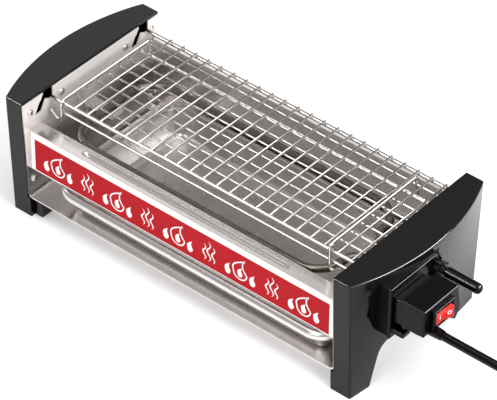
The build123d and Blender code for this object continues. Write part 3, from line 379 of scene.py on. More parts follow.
# Label: a printed sheet glued to the front panel, red inside a white border that is widest at the top.
# The ink lies a little unevenly, in clouds about 15 mm across, and has hardly any shine.
label_low, label_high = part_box("front_label")
border_left, border_right, border_bottom, border_top = 0.0036, 0.0044, 0.0006, 0.0048
label_left, label_right = label_low.x + border_left, label_high.x - border_right
label_bottom, label_top = label_low.z + border_bottom, label_high.z - border_top
label_print, label_tree, label_shader, label_place = new_finish(
    "satin_printed_label", Roughness=0.5, Specular_IOR_Level=0.1)
label_axes = add_node(label_tree, "ShaderNodeSeparateXYZ", [("Vector", label_place)])
edges = [
    add_node(label_tree, "ShaderNodeMath", [(0, label_axes.outputs[axis]), (1, limit)], operation=test)
    for axis, limit, test in (
        ("X", label_left, "GREATER_THAN"), ("X", label_right, "LESS_THAN"),
        ("Z", label_bottom, "GREATER_THAN"), ("Z", label_top, "LESS_THAN"))]
inside = edges[0]
for edge in edges[1:]:
    inside = add_node(
        label_tree, "ShaderNodeMath", [(0, inside.outputs[0]), (1, edge.outputs[0])], operation="MULTIPLY")
label_clouds = add_node(
    label_tree, "ShaderNodeTexNoise", [("Vector", label_place), ("Scale", 60.0), ("Detail", 3.0)])
label_red = add_node(
    label_tree, "ShaderNodeMix",
    [("Factor", label_clouds.outputs["Fac"]), (6, linear("#aa0b16")), (7, linear("#b80f1d"))],
    data_type="RGBA")
label_ink = add_node(
    label_tree, "ShaderNodeMix",
    [("Factor", inside.outputs[0]), (6, linear("#f3f0f0")), (7, label_red.outputs[2])], data_type="RGBA")
label_tree.links.new(label_ink.outputs[2], label_shader.inputs["Base Color"])
dress(label_print, "front_label")

# Ornament of the label: plain flames and rising heat in white ink, printed over the red.
# Each motif is drawn once and copied along the label; the ink stands 0.05 mm proud.
ink_white, ink_tree, ink_shader, ink_place = new_finish(
    "white_screen_ink", Roughness=0.55, Specular_IOR_Level=0.1)
ink_clouds = add_node(ink_tree, "ShaderNodeTexNoise", [("Vector", ink_place), ("Scale", 300.0)])
ink_tone = add_node(
    ink_tree, "ShaderNodeMix",
    [("Factor", ink_clouds.outputs["Fac"]), (6, linear("#efecec")), (7, linear("#f8f6f6"))],
    data_type="RGBA")
ink_tree.links.new(ink_tone.outputs[2], ink_shader.inputs["Base Color"])
ink_thick = 0.00005
red_middle = (label_left + label_right) / 2
red_level = (label_bottom + label_top) / 2


def ink_on(piece):
    """Gives a flat motif its thickness of ink on the label."""
    shape_with(piece, "SOLIDIFY", thickness=ink_thick, offset=0)
    bpy.ops.object.mode_set(mode="EDIT")
    bpy.ops.mesh.select_all(action="SELECT")
    bpy.ops.mesh.normals_make_consistent(inside=False)
    bpy.ops.object.mode_set(mode="OBJECT")
    return piece


def flame(name, z, wide, tall, stroke):
    """Draws a flame from a disc: the upper half runs in to a leaning tip; a stroke leaves its outline."""
    upper, lower, taper, tip_lean, belly_lean = 1.55, 0.8, 0.45, 0.34, 0.2
    bpy.ops.object.select_all(action="DESELECT")
    bpy.ops.mesh.primitive_circle_add(
        vertices=48, radius=1, fill_type="NGON", rotation=(radians(90), 0, 0))
    made = bpy.context.object
    made.name = name
    bpy.ops.object.transform_apply(location=False, rotation=True, scale=False)
    for point in made.data.vertices:
        rise = max(point.co.z, 0)
        narrowed = (1 - rise) ** taper if rise < 1 else 0
        lean = tip_lean * rise * rise - belly_lean * sin(pi * rise)
        point.co = Vector((
            (point.co.x * (narrowed if rise else 1) / 2 + lean) * wide, 0,
            (point.co.z * (upper if rise else lower) + lower) * tall / (upper + lower)))
        point.co += Vector((red_middle, label_low.y - ink_thick / 2, z))
    if stroke:
        pick(made, "FACE", lambda face: True)
        bpy.ops.mesh.inset(thickness=stroke)
        bpy.ops.mesh.delete(type="FACE")
        bpy.ops.object.mode_set(mode="OBJECT")
    return ink_on(made)


def heat_line(name, z, tall, stroke):
    """Draws one wavering line of rising heat from a strip, narrowed at its ends."""
    end_share, sway = 0.35, 0.09
    bpy.ops.object.select_all(action="DESELECT")
    bpy.ops.mesh.primitive_grid_add(
        x_subdivisions=1, y_subdivisions=28, size=1, rotation=(radians(90), 0, 0))
    made = bpy.context.object
    made.name = name
    bpy.ops.object.transform_apply(location=False, rotation=True, scale=False)
    for point in made.data.vertices:
        along = point.co.z + 0.5
        across = point.co.x * stroke * (end_share + sin(pi * along)) + sway * tall * sin(3 * pi * along)
        point.co = Vector((red_middle + across, label_low.y - ink_thick / 2, z + along * tall))
    return ink_on(made)


def printed(motif, name, shift):
    """Copies a motif along the label, each copy with its own mesh."""
    made = bpy.data.objects.new(name, motif.data.copy())
    scene.collection.objects.link(made)
    made.data.transform(Matrix.Translation((shift, 0, 0)))
    stand_in(made, ink_white, "label_red", "grill")


flame_count, flame_pitch, side_place, ink_stroke = 5, 0.0585, 0.0115, 0.0011
flame_wide, flame_tall, heart_wide, heart_tall = 0.0135, 0.0195, 0.0046, 0.0088
side_wide, side_tall = 0.0052, 0.0105
flame_level, heart_level, heat_level = red_level - 0.0098, red_level - 0.0072, red_level - 0.0088
heat_pitch, heat_tall, heat_extra = 0.0042, 0.0145, 0.0035
big_flame = flame("flame_motif", flame_level, flame_wide, flame_tall, ink_stroke)
flame_heart = flame("heart_motif", heart_level, heart_wide, heart_tall, 0)
small_flame = flame("small_flame_motif", flame_level, side_wide, side_tall, 0)
side_heat = heat_line("side_heat_motif", heat_level, heat_tall, ink_stroke)
middle_heat = heat_line("middle_heat_motif", heat_level, heat_tall + heat_extra, ink_stroke)
for count in range(flame_count):
    shift = (count - flame_count // 2) * flame_pitch
    printed(big_flame, f"ink_flame_{count}", shift)
    printed(flame_heart, f"ink_flame_heart_{count}", shift)
    for side, word in ((-1, "left"), (1, "right")):
        printed(small_flame, f"ink_small_flame_{count}_{word}", shift + side * side_place)
    if count < flame_count - 1:
        for line, motif in enumerate((side_heat, middle_heat, side_heat)):
            printed(
                motif, f"ink_heat_{count}_{line}", shift + flame_pitch / 2 + (line - 1) * heat_pitch)
for motif in (big_flame, flame_heart, small_flame, side_heat, middle_heat):
    bpy.data.objects.remove(motif)

# Drip tray: thin tinned steel, deep drawn from one sheet, its rim turned over to a full round lip.
# Drawing stretches the tin into soft 20 mm clouds of brighter and duller metal.
tray_steel, tray_tree, tray_shader, tray_place = new_finish(
    "deep_drawn_tinplate", Base_Color=linear("#dad7d5"), Metallic=1.0)
tray_cloud = add_node(
    tray_tree, "ShaderNodeTexNoise", [("Vector", tray_place), ("Scale", 50.0), ("Detail", 1.0)])
tray_blur = add_node(
    tray_tree, "ShaderNodeMapRange",
    [("Value", tray_cloud.outputs["Fac"]), ("To Min", 0.25), ("To Max", 0.3)])
tray_tree.links.new(tray_blur.outputs[0], tray_shader.inputs["Roughness"])

tray_low, tray_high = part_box("drip_tray")
tray_middle = (tray_low + tray_high) / 2
rim_width, tray_corner, tray_lean, tray_bend, tray_sheet = 0.0025, 0.017, 0.009, 0.007, 0.0006
wall_half = (tray_high - tray_low) / 2 - Vector((rim_width, rim_width, 0))
wall_angle = radians(21.4)
bend_share, bend_steps, lip_steps = 0.682, 7, 13
foot_spread = -tray_lean - tray_bend * bend_share
lip_inner, lip_wide, lip_tall = -0.0016, 0.0031, 0.0034
lip_start, lip_turn = 105, 190
lip_bend = ((0, -0.0016), (0.0004, -0.0006))
tray_profile = [
    (foot_spread + tray_bend * cos(turn), tray_low.z + tray_bend * (1 + sin(turn)))
    for turn in (-pi / 2 + (pi / 2 - wall_angle) * step / bend_steps for step in range(bend_steps + 1))]
tray_profile += [(lip_inner + out, tray_high.z + up) for out, up in lip_bend]
tray_profile += [
    (rim_width - lip_wide * (1 - cos(turn)), tray_high.z - lip_tall * (1 - sin(turn)))
    for turn in (radians(lip_start - lip_turn * step / lip_steps) for step in range(lip_steps + 1))]
bpy.ops.object.select_all(action="DESELECT")
bpy.ops.mesh.primitive_plane_add(size=2, location=(tray_middle.x, tray_middle.y, tray_low.z))
tray = bpy.context.object
tray.name = "drawn_tray"
tray.scale = (wall_half.x, wall_half.y, 1)
bpy.ops.object.transform_apply(location=True, rotation=True, scale=True)
bpy.ops.object.mode_set(mode="EDIT")
bpy.ops.mesh.select_all(action="SELECT")
bpy.ops.mesh.bevel(
    offset=tray_corner, offset_type="OFFSET", segments=10, affect="VERTICES", clamp_overlap=False)
bpy.ops.mesh.select_mode(type="EDGE")
bpy.ops.mesh.select_all(action="SELECT")
for count, (spread, level) in enumerate(tray_profile):
    if count:
        bpy.ops.mesh.extrude_edges_indiv()
    bpy.ops.object.mode_set(mode="OBJECT")
    for point in tray.data.vertices:
        if point.select:
            centre = Vector((
                tray_middle.x + copysign(wall_half.x - tray_corner, point.co.x - tray_middle.x),
                tray_middle.y + copysign(wall_half.y - tray_corner, point.co.y - tray_middle.y), level))
            outward = Vector((point.co.x - centre.x, point.co.y - centre.y, 0)).normalized()
            point.co = centre + outward * (tray_corner + spread)
    bpy.ops.object.mode_set(mode="EDIT")
bpy.ops.object.mode_set(mode="OBJECT")
pick(tray, "FACE", lambda face: True)
bpy.ops.mesh.normals_make_consistent(inside=False)
bpy.ops.object.mode_set(mode="OBJECT")
if min(tray.data.polygons, key=lambda face: face.center.z).normal.z > 0:
    tray.data.flip_normals()
shape_with(tray, "SOLIDIFY", thickness=tray_sheet, offset=-1)
bpy.ops.object.shade_smooth_by_angle(angle=radians(40))
stand_in(tray, tray_steel, "tray_steel", "tray", "drip_tray")

# Heater: one sheathed tube bent to a long loop, its cold ends through the right side plate.
# Heat has dulled the sheath to a dark olive grey with blotches about 10 mm across.
sheath, sheath_tree, sheath_shader, sheath_place = new_finish(
    "heat_dulled_sheath", Metallic=0.95, Roughness=0.13)
sheath_blotch = add_node(
    sheath_tree, "ShaderNodeTexNoise", [("Vector", sheath_place), ("Scale", 90.0), ("Detail", 4.0)])
sheath_tone = add_node(
    sheath_tree, "ShaderNodeMix",
    [("Factor", sheath_blotch.outputs["Fac"]), (6, linear("#5f5c54")), (7, linear("#8c887d"))],
    data_type="RGBA")
sheath_tree.links.new(sheath_tone.outputs[2], sheath_shader.inputs["Base Color"])
sheath_bump = add_node(
    sheath_tree, "ShaderNodeBump",
    [("Height", sheath_blotch.outputs["Fac"]), ("Strength", 0.1), ("Distance", 0.0002)])
sheath_tree.links.new(sheath_bump.outputs[0], sheath_shader.inputs["Normal"])
dress(sheath, "heater")

# Heater bushings and the contact block: pale steatite, pressed and fired.
# Its skin is dull, with a grain of about 1 mm.
ceramic, ceramic_tree, ceramic_shader, ceramic_place = new_finish(
    "steatite_ceramic", Base_Color=linear("#d8d0c0"), Roughness=0.55)
ceramic_grain = add_node(ceramic_tree, "ShaderNodeTexNoise", [("Vector", ceramic_place), ("Scale", 900.0)])
ceramic_bump = add_node(
    ceramic_tree, "ShaderNodeBump",
    [("Height", ceramic_grain.outputs["Fac"]), ("Strength", 0.2), ("Distance", 0.0001)])
ceramic_tree.links.new(ceramic_bump.outputs[0], ceramic_shader.inputs["Normal"])
dress(ceramic, "heater_bushings", "contact_block")

# Posts, pins, sleeves and plug blades: drawn brass, which stays bright.
# Handling leaves scratches, drawn 1.4 mm apart so that they show.
brass, brass_tree, brass_shader, brass_place = new_finish(
    "drawn_brass", Base_Color=linear("#c9a45a"), Metallic=1.0, Roughness=0.3)
brass_scratch = add_node(brass_tree, "ShaderNodeTexNoise", [("Vector", brass_place), ("Scale", 700.0)])
brass_bump = add_node(
    brass_tree, "ShaderNodeBump",
    [("Height", brass_scratch.outputs["Fac"]), ("Strength", 0.1), ("Distance", 0.0001)])
brass_tree.links.new(brass_bump.outputs[0], brass_shader.inputs["Normal"])
dress(brass, "heater_posts", "socket_pins", "contact_sleeves", "plug_blades")

# Wire net: chromed steel wire, spot welded where it crosses, resting on two rods in the side plates.
# The plating is bright, with 5 mm patches that handling has dulled.
chrome, chrome_tree, chrome_shader, chrome_place = new_finish(
    "chromed_wire", Base_Color=linear("#d0ccc9"), Metallic=1.0)
chrome_patches = add_node(
    chrome_tree, "ShaderNodeTexNoise", [("Vector", chrome_place), ("Scale", 220.0), ("Detail", 3.0)])
chrome_blur = add_node(
    chrome_tree, "ShaderNodeMapRange",
    [("Value", chrome_patches.outputs["Fac"]), ("To Min", 0.1), ("To Max", 0.24)])
chrome_tree.links.new(chrome_blur.outputs[0], chrome_shader.inputs["Roughness"])
net_bars = ("net_rods", "net_end_bar", "net_lift_bar", "net_lower_rods")
dress(chrome, *net_bars)

wire, row_count, cross_count = 0.0018, 8, 22
weld, bar_inset, cross_short, long_before, long_past = 0.96, 0.0013, 0.0008, 0.0016, 0.0012
mesh_low, mesh_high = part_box("net_mesh")
rod = rods_high.z - rods_low.z
row_pitch = (rods_high.y - rods_low.y - rod) / (row_count + 1)
front_rod_y = rods_low.y + rod / 2
bar_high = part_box("net_end_bar")[1]
bar_x = bar_high.x - bar_inset
cross_pitch = (mesh_high.x - wire / 2 - bar_x) / cross_count
cross_z = (mesh_low.z + mesh_high.z) / 2
long_y, long_z = front_rod_y + row_pitch, cross_z - wire * weld


def straight_wire(name, start, end, thick):
    """Draws a straight round wire with eased ends, lying along X or Y."""
    wire_sides, ease_share = 14, 0.2
    bpy.ops.object.select_all(action="DESELECT")
    along = Vector(end) - Vector(start)
    bpy.ops.mesh.primitive_cylinder_add(
        vertices=wire_sides, radius=thick / 2, depth=along.length,
        location=(Vector(start) + Vector(end)) / 2, rotation=along.to_track_quat("Z", "Y").to_euler())
    made = bpy.context.object
    made.name = name
    bpy.ops.object.transform_apply(location=True, rotation=True, scale=True)
    shape_with(
        made, "BEVEL", width=thick * ease_share, segments=2, limit_method="ANGLE",
        angle_limit=radians(50))
    return made


def row_of(piece, step, count):
    """Copies a piece in a row and keeps the row as one piece."""
    shape_with(
        piece, "ARRAY", count=count, use_relative_offset=False, use_constant_offset=True,
        constant_offset_displace=step)
    bpy.ops.object.shade_smooth_by_angle(angle=radians(50))
    return piece


cross_wires = row_of(
    straight_wire(
        "net_cross_wires", (bar_x + cross_pitch, mesh_low.y, cross_z),
        (bar_x + cross_pitch, mesh_high.y - cross_short, cross_z), wire),
    (cross_pitch, 0, 0), cross_count)
long_wires = row_of(
    straight_wire(
        "net_long_wires", (bar_x - long_before, long_y, long_z), (mesh_high.x + long_past, long_y, long_z),
        wire),
    (0, row_pitch, 0), row_count)
stand_in(cross_wires, chrome, "net_chrome", "net", "net_mesh")
stand_in(long_wires, chrome, "net_chrome", "net")
for piece in (cross_wires, long_wires, *(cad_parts[name] for name in net_bars)):
    wires.objects.link(piece)

# Power unit: a flange, and a cover on a narrower neck with the switch in its end, clipped together.
# It plugs into the right panel; the release rod is of the same black ABS, from a spark-eroded tool.
# That gives a deep black with a low shine and a 1 mm grain, drawn coarse to show.
unit_black, unit_tree, unit_shader, unit_place = new_finish(
    "spark_eroded_black_abs", Base_Color=linear("#010101"), Specular_IOR_Level=0.12)
unit_grain = add_node(
    unit_tree, "ShaderNodeTexNoise", [("Vector", unit_place), ("Scale", 900.0), ("Detail", 2.0)])
unit_blur = add_node(
    unit_tree, "ShaderNodeMapRange",
    [("Value", unit_grain.outputs["Fac"]), ("To Min", 0.2), ("To Max", 0.3)])
unit_tree.links.new(unit_blur.outputs[0], unit_shader.inputs["Roughness"])
unit_bump = add_node(
    unit_tree, "ShaderNodeBump",
    [("Height", unit_grain.outputs["Fac"]), ("Strength", 0.06), ("Distance", 0.0001)])
unit_tree.links.new(unit_bump.outputs[0], unit_shader.inputs["Normal"])


def rounded(made, width):
    """Rounds the sharp edges of a moulding, and keeps it within the box that it had."""
    corners = [Vector(corner) for corner in made.bound_box]
    low, high = corners[0], corners[6]
    shape_with(
        made, "BEVEL", width=width, segments=3, limit_method="ANGLE", angle_limit=radians(40),
        use_clamp_overlap=False)
    for point in made.data.vertices:
        point.co = [min(max(place, least), most) for place, least, most in zip(point.co, low, high)]
    shape_with(made, "TRIANGULATE")
    bpy.ops.object.shade_smooth_by_angle(angle=radians(35))
    shape_with(made, "WEIGHTED_NORMAL", keep_sharp=True)
    return made


def softened(name, node, width):
    """Copies a CAD node and rounds its sharp edges."""
    return rounded(merged(name, node), width)


def join_block(moulding, operation, low, high):
    """Adds a block to a moulding, or cuts one from it."""
    block = block_between("joined_block", low, high)
    shape_with(moulding, "BOOLEAN", object=block, operation=operation, solver="EXACT")
    bpy.data.objects.remove(block)
    bpy.ops.object.mode_set(mode="EDIT")
    bpy.ops.mesh.select_all(action="SELECT")
    bpy.ops.mesh.remove_doubles(threshold=0.00001)
    bpy.ops.mesh.dissolve_degenerate(threshold=0.00001)
    bpy.ops.mesh.dissolve_limited(angle_limit=radians(0.5))
    bpy.ops.object.mode_set(mode="OBJECT")


flange_low, flange_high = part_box("power_flange")
cover_low, cover_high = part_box("power_cover")
apron_bottom, apron_back, apron_top = 0.0575, -0.014, 0.075
flange = merged("moulded_flange", "power_flange")
join_block(
    flange, "UNION", (flange_low.x, flange_low.y, apron_bottom), (cover_low.x, apron_back, apron_top))
waist, back_wall, past = 0.009, 0.001, 0.002
neck_inset, room_inset, wall_inset = 0.0035, 0.0054, 0.0008
neck_low, neck_high = (cover_low.y + neck_inset, 0.0723), (-0.0175, 0.0937)
room_low, room_high = (cover_low.y + room_inset, 0.0750), (-0.0194, 0.0918)
wall_low, wall_high = (cover_low.y + wall_inset, 0.0732), (-0.0172, 0.0987)
shoulder = cover_low.x + waist
cover = merged("moulded_cover", "power_cover")
join_block(
    cover, "DIFFERENCE", (cover_low.x - past, cover_low.y - past, cover_low.z - past),
    (shoulder, cover_high.y + past, cover_high.z + past))
join_block(cover, "UNION", (shoulder + back_wall, *wall_low), (shoulder + 2 * back_wall, *wall_high))
join_block(cover, "UNION", (cover_low.x, *neck_low), (shoulder + 1.5 * back_wall, *neck_high))
join_block(cover, "DIFFERENCE", (cover_low.x - past, *room_low), (shoulder, *room_high))
switch = merged("moulded_switch", "switch_body")
flange_round, cover_round, switch_round = 0.0008, 0.0007, 0.0005
for moulding, node, width in (
        (flange, "power_flange", flange_round), (cover, "power_cover", cover_round),
        (switch, "switch_body", switch_round)):
    stand_in(rounded(moulding, width), unit_black, "unit_black", "power_unit", node)
    mouldings.objects.link(moulding)
dress(unit_black, "release_rod")
mouldings.objects.link(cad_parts["release_rod"])

# Socket and its collar: pressed black phenolic, which stands the heat of the pins.
# The collar frames the opening and gives the flange a flat seat on the bowed panel; it is drawn wide and
# black so that it also stands for the unit's shadow and dark reflection on the panel, which is painted
# shade.
# The skin is matt, with a 1 mm grain.
phenolic, phenolic_tree, phenolic_shader, phenolic_place = new_finish(
    "pressed_black_phenolic", Base_Color=linear("#040404"), Specular_IOR_Level=0.04)
phenolic_grain = add_node(
    phenolic_tree, "ShaderNodeTexNoise", [("Vector", phenolic_place), ("Scale", 1000.0)])
phenolic_blur = add_node(
    phenolic_tree, "ShaderNodeMapRange",
    [("Value", phenolic_grain.outputs["Fac"]), ("To Min", 0.3), ("To Max", 0.45)])
phenolic_tree.links.new(phenolic_blur.outputs[0], phenolic_shader.inputs["Roughness"])
socket_round = 0.0004
socket = softened("moulded_socket", "socket_block", socket_round)
stand_in(socket, phenolic, "unit_black", "grill", "socket_block")
mouldings.objects.link(socket)
socket_low, socket_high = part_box("socket_block")
socket_rim, rim_lap, collar_inset, collar_round = 0.0025, 0.0002, 0.0008, 0.0006
collar_back, opening_back, opening_past = flange_high.x - 0.0257, flange_high.x - 0.03, 0.001
collar_behind, collar_above = 0.0004, 0.0005
rim = socket_rim - rim_lap
collar_corners = (
    (collar_back, flange_low.y + collar_inset, apron_bottom + collar_inset),
    (socket_high.x, socket_high.y - collar_behind, socket_high.z + collar_above))
opening_corners = (
    (opening_back, socket_low.y + rim, socket_low.z + rim),
    (socket_high.x + opening_past, socket_high.y - rim, socket_high.z - rim))
# Partly painted shade: the block fills the dark patch beside the flange, where the unit's shadow and
# reflection fall on the panel.
collar_and_shade = block_between("socket_collar_and_shade", *collar_corners)
join_block(collar_and_shade, "DIFFERENCE", *opening_corners)
shape_with(
    collar_and_shade, "BEVEL", width=collar_round, segments=3, limit_method="ANGLE", angle_limit=radians(40))
bpy.ops.object.shade_smooth_by_angle(angle=radians(35))
stand_in(collar_and_shade, phenolic, "unit_black", "grill")
mouldings.objects.link(collar_and_shade)

# Crown of the release rod: a moulded nylon collar with pointed lugs, screwed to the flange.
# It and the cord tie have a dull skin with a 0.8 mm grain.
nylon, nylon_tree, nylon_shader, nylon_place = new_finish(
    "moulded_black_nylon", Base_Color=linear("#0c0c0c"), Roughness=0.4, Specular_IOR_Level=0.35)
nylon_grain = add_node(nylon_tree, "ShaderNodeTexNoise", [("Vector", nylon_place), ("Scale", 1200.0)])
nylon_bump = add_node(
    nylon_tree, "ShaderNodeBump",
    [("Height", nylon_grain.outputs["Fac"]), ("Strength", 0.2), ("Distance", 0.0001)])
nylon_tree.links.new(nylon_bump.outputs[0], nylon_shader.inputs["Normal"])
crown_round, tie_round = 0.0003, 0.00025
crown = softened("moulded_crown", "rod_crown", crown_round)
stand_in(crown, nylon, "crown_dark", "power_unit", "rod_crown")
tie = softened("moulded_tie", "cord_tie", tie_round)
stand_in(tie, nylon, "tie_black", "power_unit", "cord_tie")

# Spring of the release rod: blackened drawn wire, wound in four turns between flange and handle.
# On the grill it shortens as the handle is pushed, but here it is drawn at rest only; the blacking is worn
# through in 2 mm patches.
black_wire, wire_tree, wire_shader, wire_place = new_finish(
    "blackened_spring_wire", Metallic=0.8, Roughness=0.4)
wire_wear = add_node(wire_tree, "ShaderNodeTexNoise", [("Vector", wire_place), ("Scale", 500.0)])
wire_tone = add_node(
    wire_tree, "ShaderNodeMix",
    [("Factor", wire_wear.outputs["Fac"]), (6, linear("#101010")), (7, linear("#3c3b3a"))],
    data_type="RGBA")
wire_tree.links.new(wire_tone.outputs[2], wire_shader.inputs["Base Color"])
spring_low, spring_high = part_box("rod_spring")
spring_wire, spring_turns, turn_steps, release_travel = 0.0009, 4, 24, 0.004
spring_radius = (spring_high.y - spring_low.y - spring_wire) / 2
spring_axis = (spring_low + spring_high) / 2
bpy.ops.object.select_all(action="DESELECT")
bpy.ops.mesh.primitive_circle_add(vertices=10, radius=spring_wire / 2, fill_type="NOTHING")
spring = bpy.context.object
spring.name = "wound_spring"
bpy.ops.object.mode_set(mode="EDIT")
bpy.ops.mesh.select_all(action="SELECT")
bpy.ops.transform.translate(value=(0, spring_radius, 0))
bpy.ops.object.mode_set(mode="OBJECT")
shape_with(
    spring, "SCREW", axis="X", angle=2 * pi * spring_turns,
    screw_offset=spring_high.x - spring_low.x - spring_wire, steps=turn_steps * spring_turns,
    render_steps=turn_steps * spring_turns, use_merge_vertices=False)
pick(spring, "FACE", lambda face: False)
bpy.ops.mesh.select_mode(type="EDGE")
bpy.ops.mesh.select_non_manifold(
    use_wire=False, use_multi_face=False, use_non_contiguous=False, use_verts=False)
bpy.ops.mesh.edge_face_add()
bpy.ops.mesh.select_all(action="SELECT")
bpy.ops.mesh.normals_make_consistent(inside=False)
bpy.ops.object.mode_set(mode="OBJECT")
for point in spring.data.vertices:
    point.co += Vector((spring_low.x + spring_wire / 2, spring_axis.y, spring_axis.z))
only(spring)
bpy.ops.object.shade_smooth_by_angle(angle=radians(60))
stand_in(spring, black_wire, "spring_steel", "power_unit", "rod_spring")
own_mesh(spring)

# Rocker: clear red polycarbonate with a hollow across its face, tipped to one side, on an upright axle.
# Ribs inside, 1.6 mm apart, show through as darker bars; a ring and a bar are printed on its two ends.
rocker_red, rocker_tree, rocker_shader, rocker_place = new_finish(
    "clear_red_polycarbonate", Roughness=0.14, IOR=1.58, Subsurface_Weight=0.2, Subsurface_Scale=0.003)
rocker_ribs = add_node(
    rocker_tree, "ShaderNodeTexWave", [("Vector", rocker_place), ("Scale", 200.0), ("Distortion", 0.6)],
    bands_direction="Y")
rocker_tone = add_node(
    rocker_tree, "ShaderNodeMix",
    [("Factor", rocker_ribs.outputs["Fac"]), (6, linear("#c01a1a")), (7, linear("#dc2f26"))],
    data_type="RGBA")
rocker_tree.links.new(rocker_tone.outputs[2], rocker_shader.inputs["Base Color"])
bezel_low, bezel_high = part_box("switch_body")
axle_low, axle_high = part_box("rocker")
axle_depth, rocker_face, rocker_valley, rocker_drop = 0.004, 0.0056, 0.00155, 0.007
rocker_half, rocker_tall, rocker_round = 0.008, 0.0104, 0.0007
pivot = Vector((
    bezel_high.x - axle_depth, (bezel_low.y + bezel_high.y) / 2, (axle_low.z + axle_high.z) / 2))
rest_tilt = radians(-11)
bpy.ops.object.select_all(action="DESELECT")
bpy.ops.mesh.primitive_cube_add(size=1)
rocker = bpy.context.object
rocker.name = "clear_rocker"
rocker.scale = (rocker_face + rocker_drop, 2 * rocker_half, rocker_tall)
bpy.ops.object.transform_apply(location=True, rotation=True, scale=True)
bpy.ops.object.mode_set(mode="EDIT")
bpy.ops.mesh.select_all(action="SELECT")
bpy.ops.transform.translate(value=((rocker_face - rocker_drop) / 2, 0, 0))
for place, facing in (((0, 0, 0), (0, 1, 0)), ((-rocker_valley, 0, 0), (1, 0, 0))):
    bpy.ops.mesh.select_all(action="SELECT")
    bpy.ops.mesh.bisect(plane_co=place, plane_no=facing)
bpy.ops.object.mode_set(mode="OBJECT")
for point in rocker.data.vertices:
    if point.co.x > rocker_face - near and abs(point.co.y) < near:
        point.co.x -= rocker_valley
    if point.co.x < near - rocker_drop:
        point.co.y /= 2
shape_with(
    rocker, "BEVEL", width=rocker_round, segments=4, limit_method="ANGLE", angle_limit=radians(40))
bpy.ops.object.shade_smooth_by_angle(angle=radians(35))


def tip_over(piece):
    """Tips a piece drawn about the axle to the rocker's rest and puts it in its place."""
    only(piece)
    piece.location = pivot
    piece.rotation_euler = (0, 0, rest_tilt)
    bpy.ops.object.transform_apply(location=True, rotation=True, scale=True)


tip_over(rocker)
stand_in(rocker, rocker_red, "rocker_red", "rocker", "rocker")
face_lean = radians(11)
mark_y, mark_proud, ring_radius, ring_stroke, ring_flat = 0.0044, 0.00004, 0.0014, 0.0003, 0.2
bar_size, bar_edge = (0.0001, 0.0008, 0.0032), 0.00004
mark_x = rocker_face - rocker_valley * (1 - mark_y / rocker_half) + mark_proud
bpy.ops.object.select_all(action="DESELECT")
bpy.ops.mesh.primitive_torus_add(
    major_radius=ring_radius, minor_radius=ring_stroke, major_segments=36, minor_segments=8,
    location=(mark_x, mark_y, 0), rotation=(0, radians(90), -face_lean))
ring_mark = bpy.context.object
ring_mark.name = "rocker_ring_mark"
ring_mark.scale = (1, 1, ring_flat)
bpy.ops.object.transform_apply(location=True, rotation=True, scale=True)
bpy.ops.object.select_all(action="DESELECT")
bpy.ops.mesh.primitive_cube_add(size=1, location=(mark_x, -mark_y, 0), rotation=(0, 0, face_lean))
bar_mark = bpy.context.object
bar_mark.name = "rocker_bar_mark"
bar_mark.scale = bar_size
bpy.ops.object.transform_apply(location=True, rotation=True, scale=True)
shape_with(bar_mark, "BEVEL", width=bar_edge, segments=2)
for piece in (ring_mark, bar_mark):
    tip_over(piece)
    stand_in(piece, ink_white, "rocker_red", "rocker")
only(ring_mark)
bpy.ops.object.shade_smooth_by_angle(angle=radians(60))

# Cord: black PVC sheath that leaves the cover through a tapered gland and is wound up for storage.
# The skin is slightly dull, with a 1.2 mm grain; gland, leads and plug are of the same plastic.
pvc, pvc_tree, pvc_shader, pvc_place = new_finish(
    "black_pvc_sheath", Base_Color=linear("#030303"), Roughness=0.16, Specular_IOR_Level=0.18)
pvc_grain = add_node(pvc_tree, "ShaderNodeTexNoise", [("Vector", pvc_place), ("Scale", 800.0)])
pvc_bump = add_node(
    pvc_tree, "ShaderNodeBump",
    [("Height", pvc_grain.outputs["Fac"]), ("Strength", 0.12), ("Distance", 0.0001)])
pvc_tree.links.new(pvc_bump.outputs[0], pvc_shader.inputs["Normal"])
dress(pvc, "cord_gland", "lead_wires")

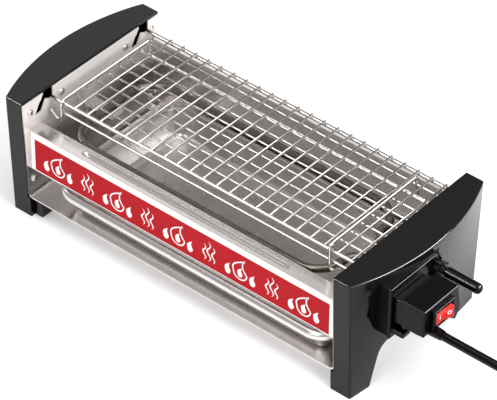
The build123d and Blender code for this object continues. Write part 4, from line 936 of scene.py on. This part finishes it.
cord_thick = 0.0066
route = [
    (0.1757, -0.044, 0.0755), (0.2251, -0.044, 0.0755), (0.2547, -0.044, 0.0755),
    (0.28339, -0.043, 0.06834), (0.30526, -0.03993, 0.05345), (0.32113, -0.03351, 0.03305),
    (0.33372, -0.02092, 0.0146), (0.34106, -0.00076, 0.0046), (0.34106, 0.02094, 0.0046)]
coil_x, coil_y, coil_z = 0.29516, 0.02754, 0.0046
coil_inner, coil_pitch, coil_step, half_turns, climb = 0.027, 0.0072, 0.0072, 2.75, 0.25
turn_points, coil_outer, tail_places = 14, 0.0459, (0.010, 0.016)
coil_points = round(2 * half_turns * turn_points)
for count in range(coil_points + 1):
    turns = count / turn_points
    apart = abs(turns - half_turns)
    radius = coil_inner + coil_pitch * (apart - climb / 2)
    if apart < climb:
        radius = coil_inner + coil_pitch * apart * apart / (2 * climb)
    risen = min(max((turns - half_turns + climb) / (2 * climb), 0), 1)
    if 0 < count < coil_points:
        radius = radius / cos(pi / turn_points)
    route.append((
        coil_x + radius * cos(2 * pi * turns), coil_y + radius * sin(2 * pi * turns),
        coil_z + coil_step * risen * risen * (3 - 2 * risen)))
for tail in tail_places:
    route.append((coil_x - coil_outer, coil_y - tail, coil_z + coil_step))
cord_curve = bpy.data.curves.new("cord", "CURVE")
cord_curve.dimensions = "3D"
cord_curve.bevel_depth = cord_thick / 2
cord_curve.bevel_resolution = 5
cord_curve.resolution_u = 6
cord_curve.use_fill_caps = True
spline = cord_curve.splines.new("NURBS")
spline.points.add(len(route) - 1)
for point, place in zip(spline.points, route):
    point.co = (*place, 1)
spline.order_u = 3
spline.use_endpoint_u = True
cord = bpy.data.objects.new("cord", cord_curve)
scene.collection.objects.link(cord)
stand_in(cord, pvc, "cord_black", "power_unit", "power_cord", "cord_coil")

# Plug: moulded in PVC on to the cord's end, with a tapered relief and rounded edges.
# Two flat brass blades stand out of its face.
plug_round = 0.0005
plug = softened("moulded_plug", "plug_body", plug_round)
stand_in(plug, pvc, "cord_black", "power_unit", "plug_body")
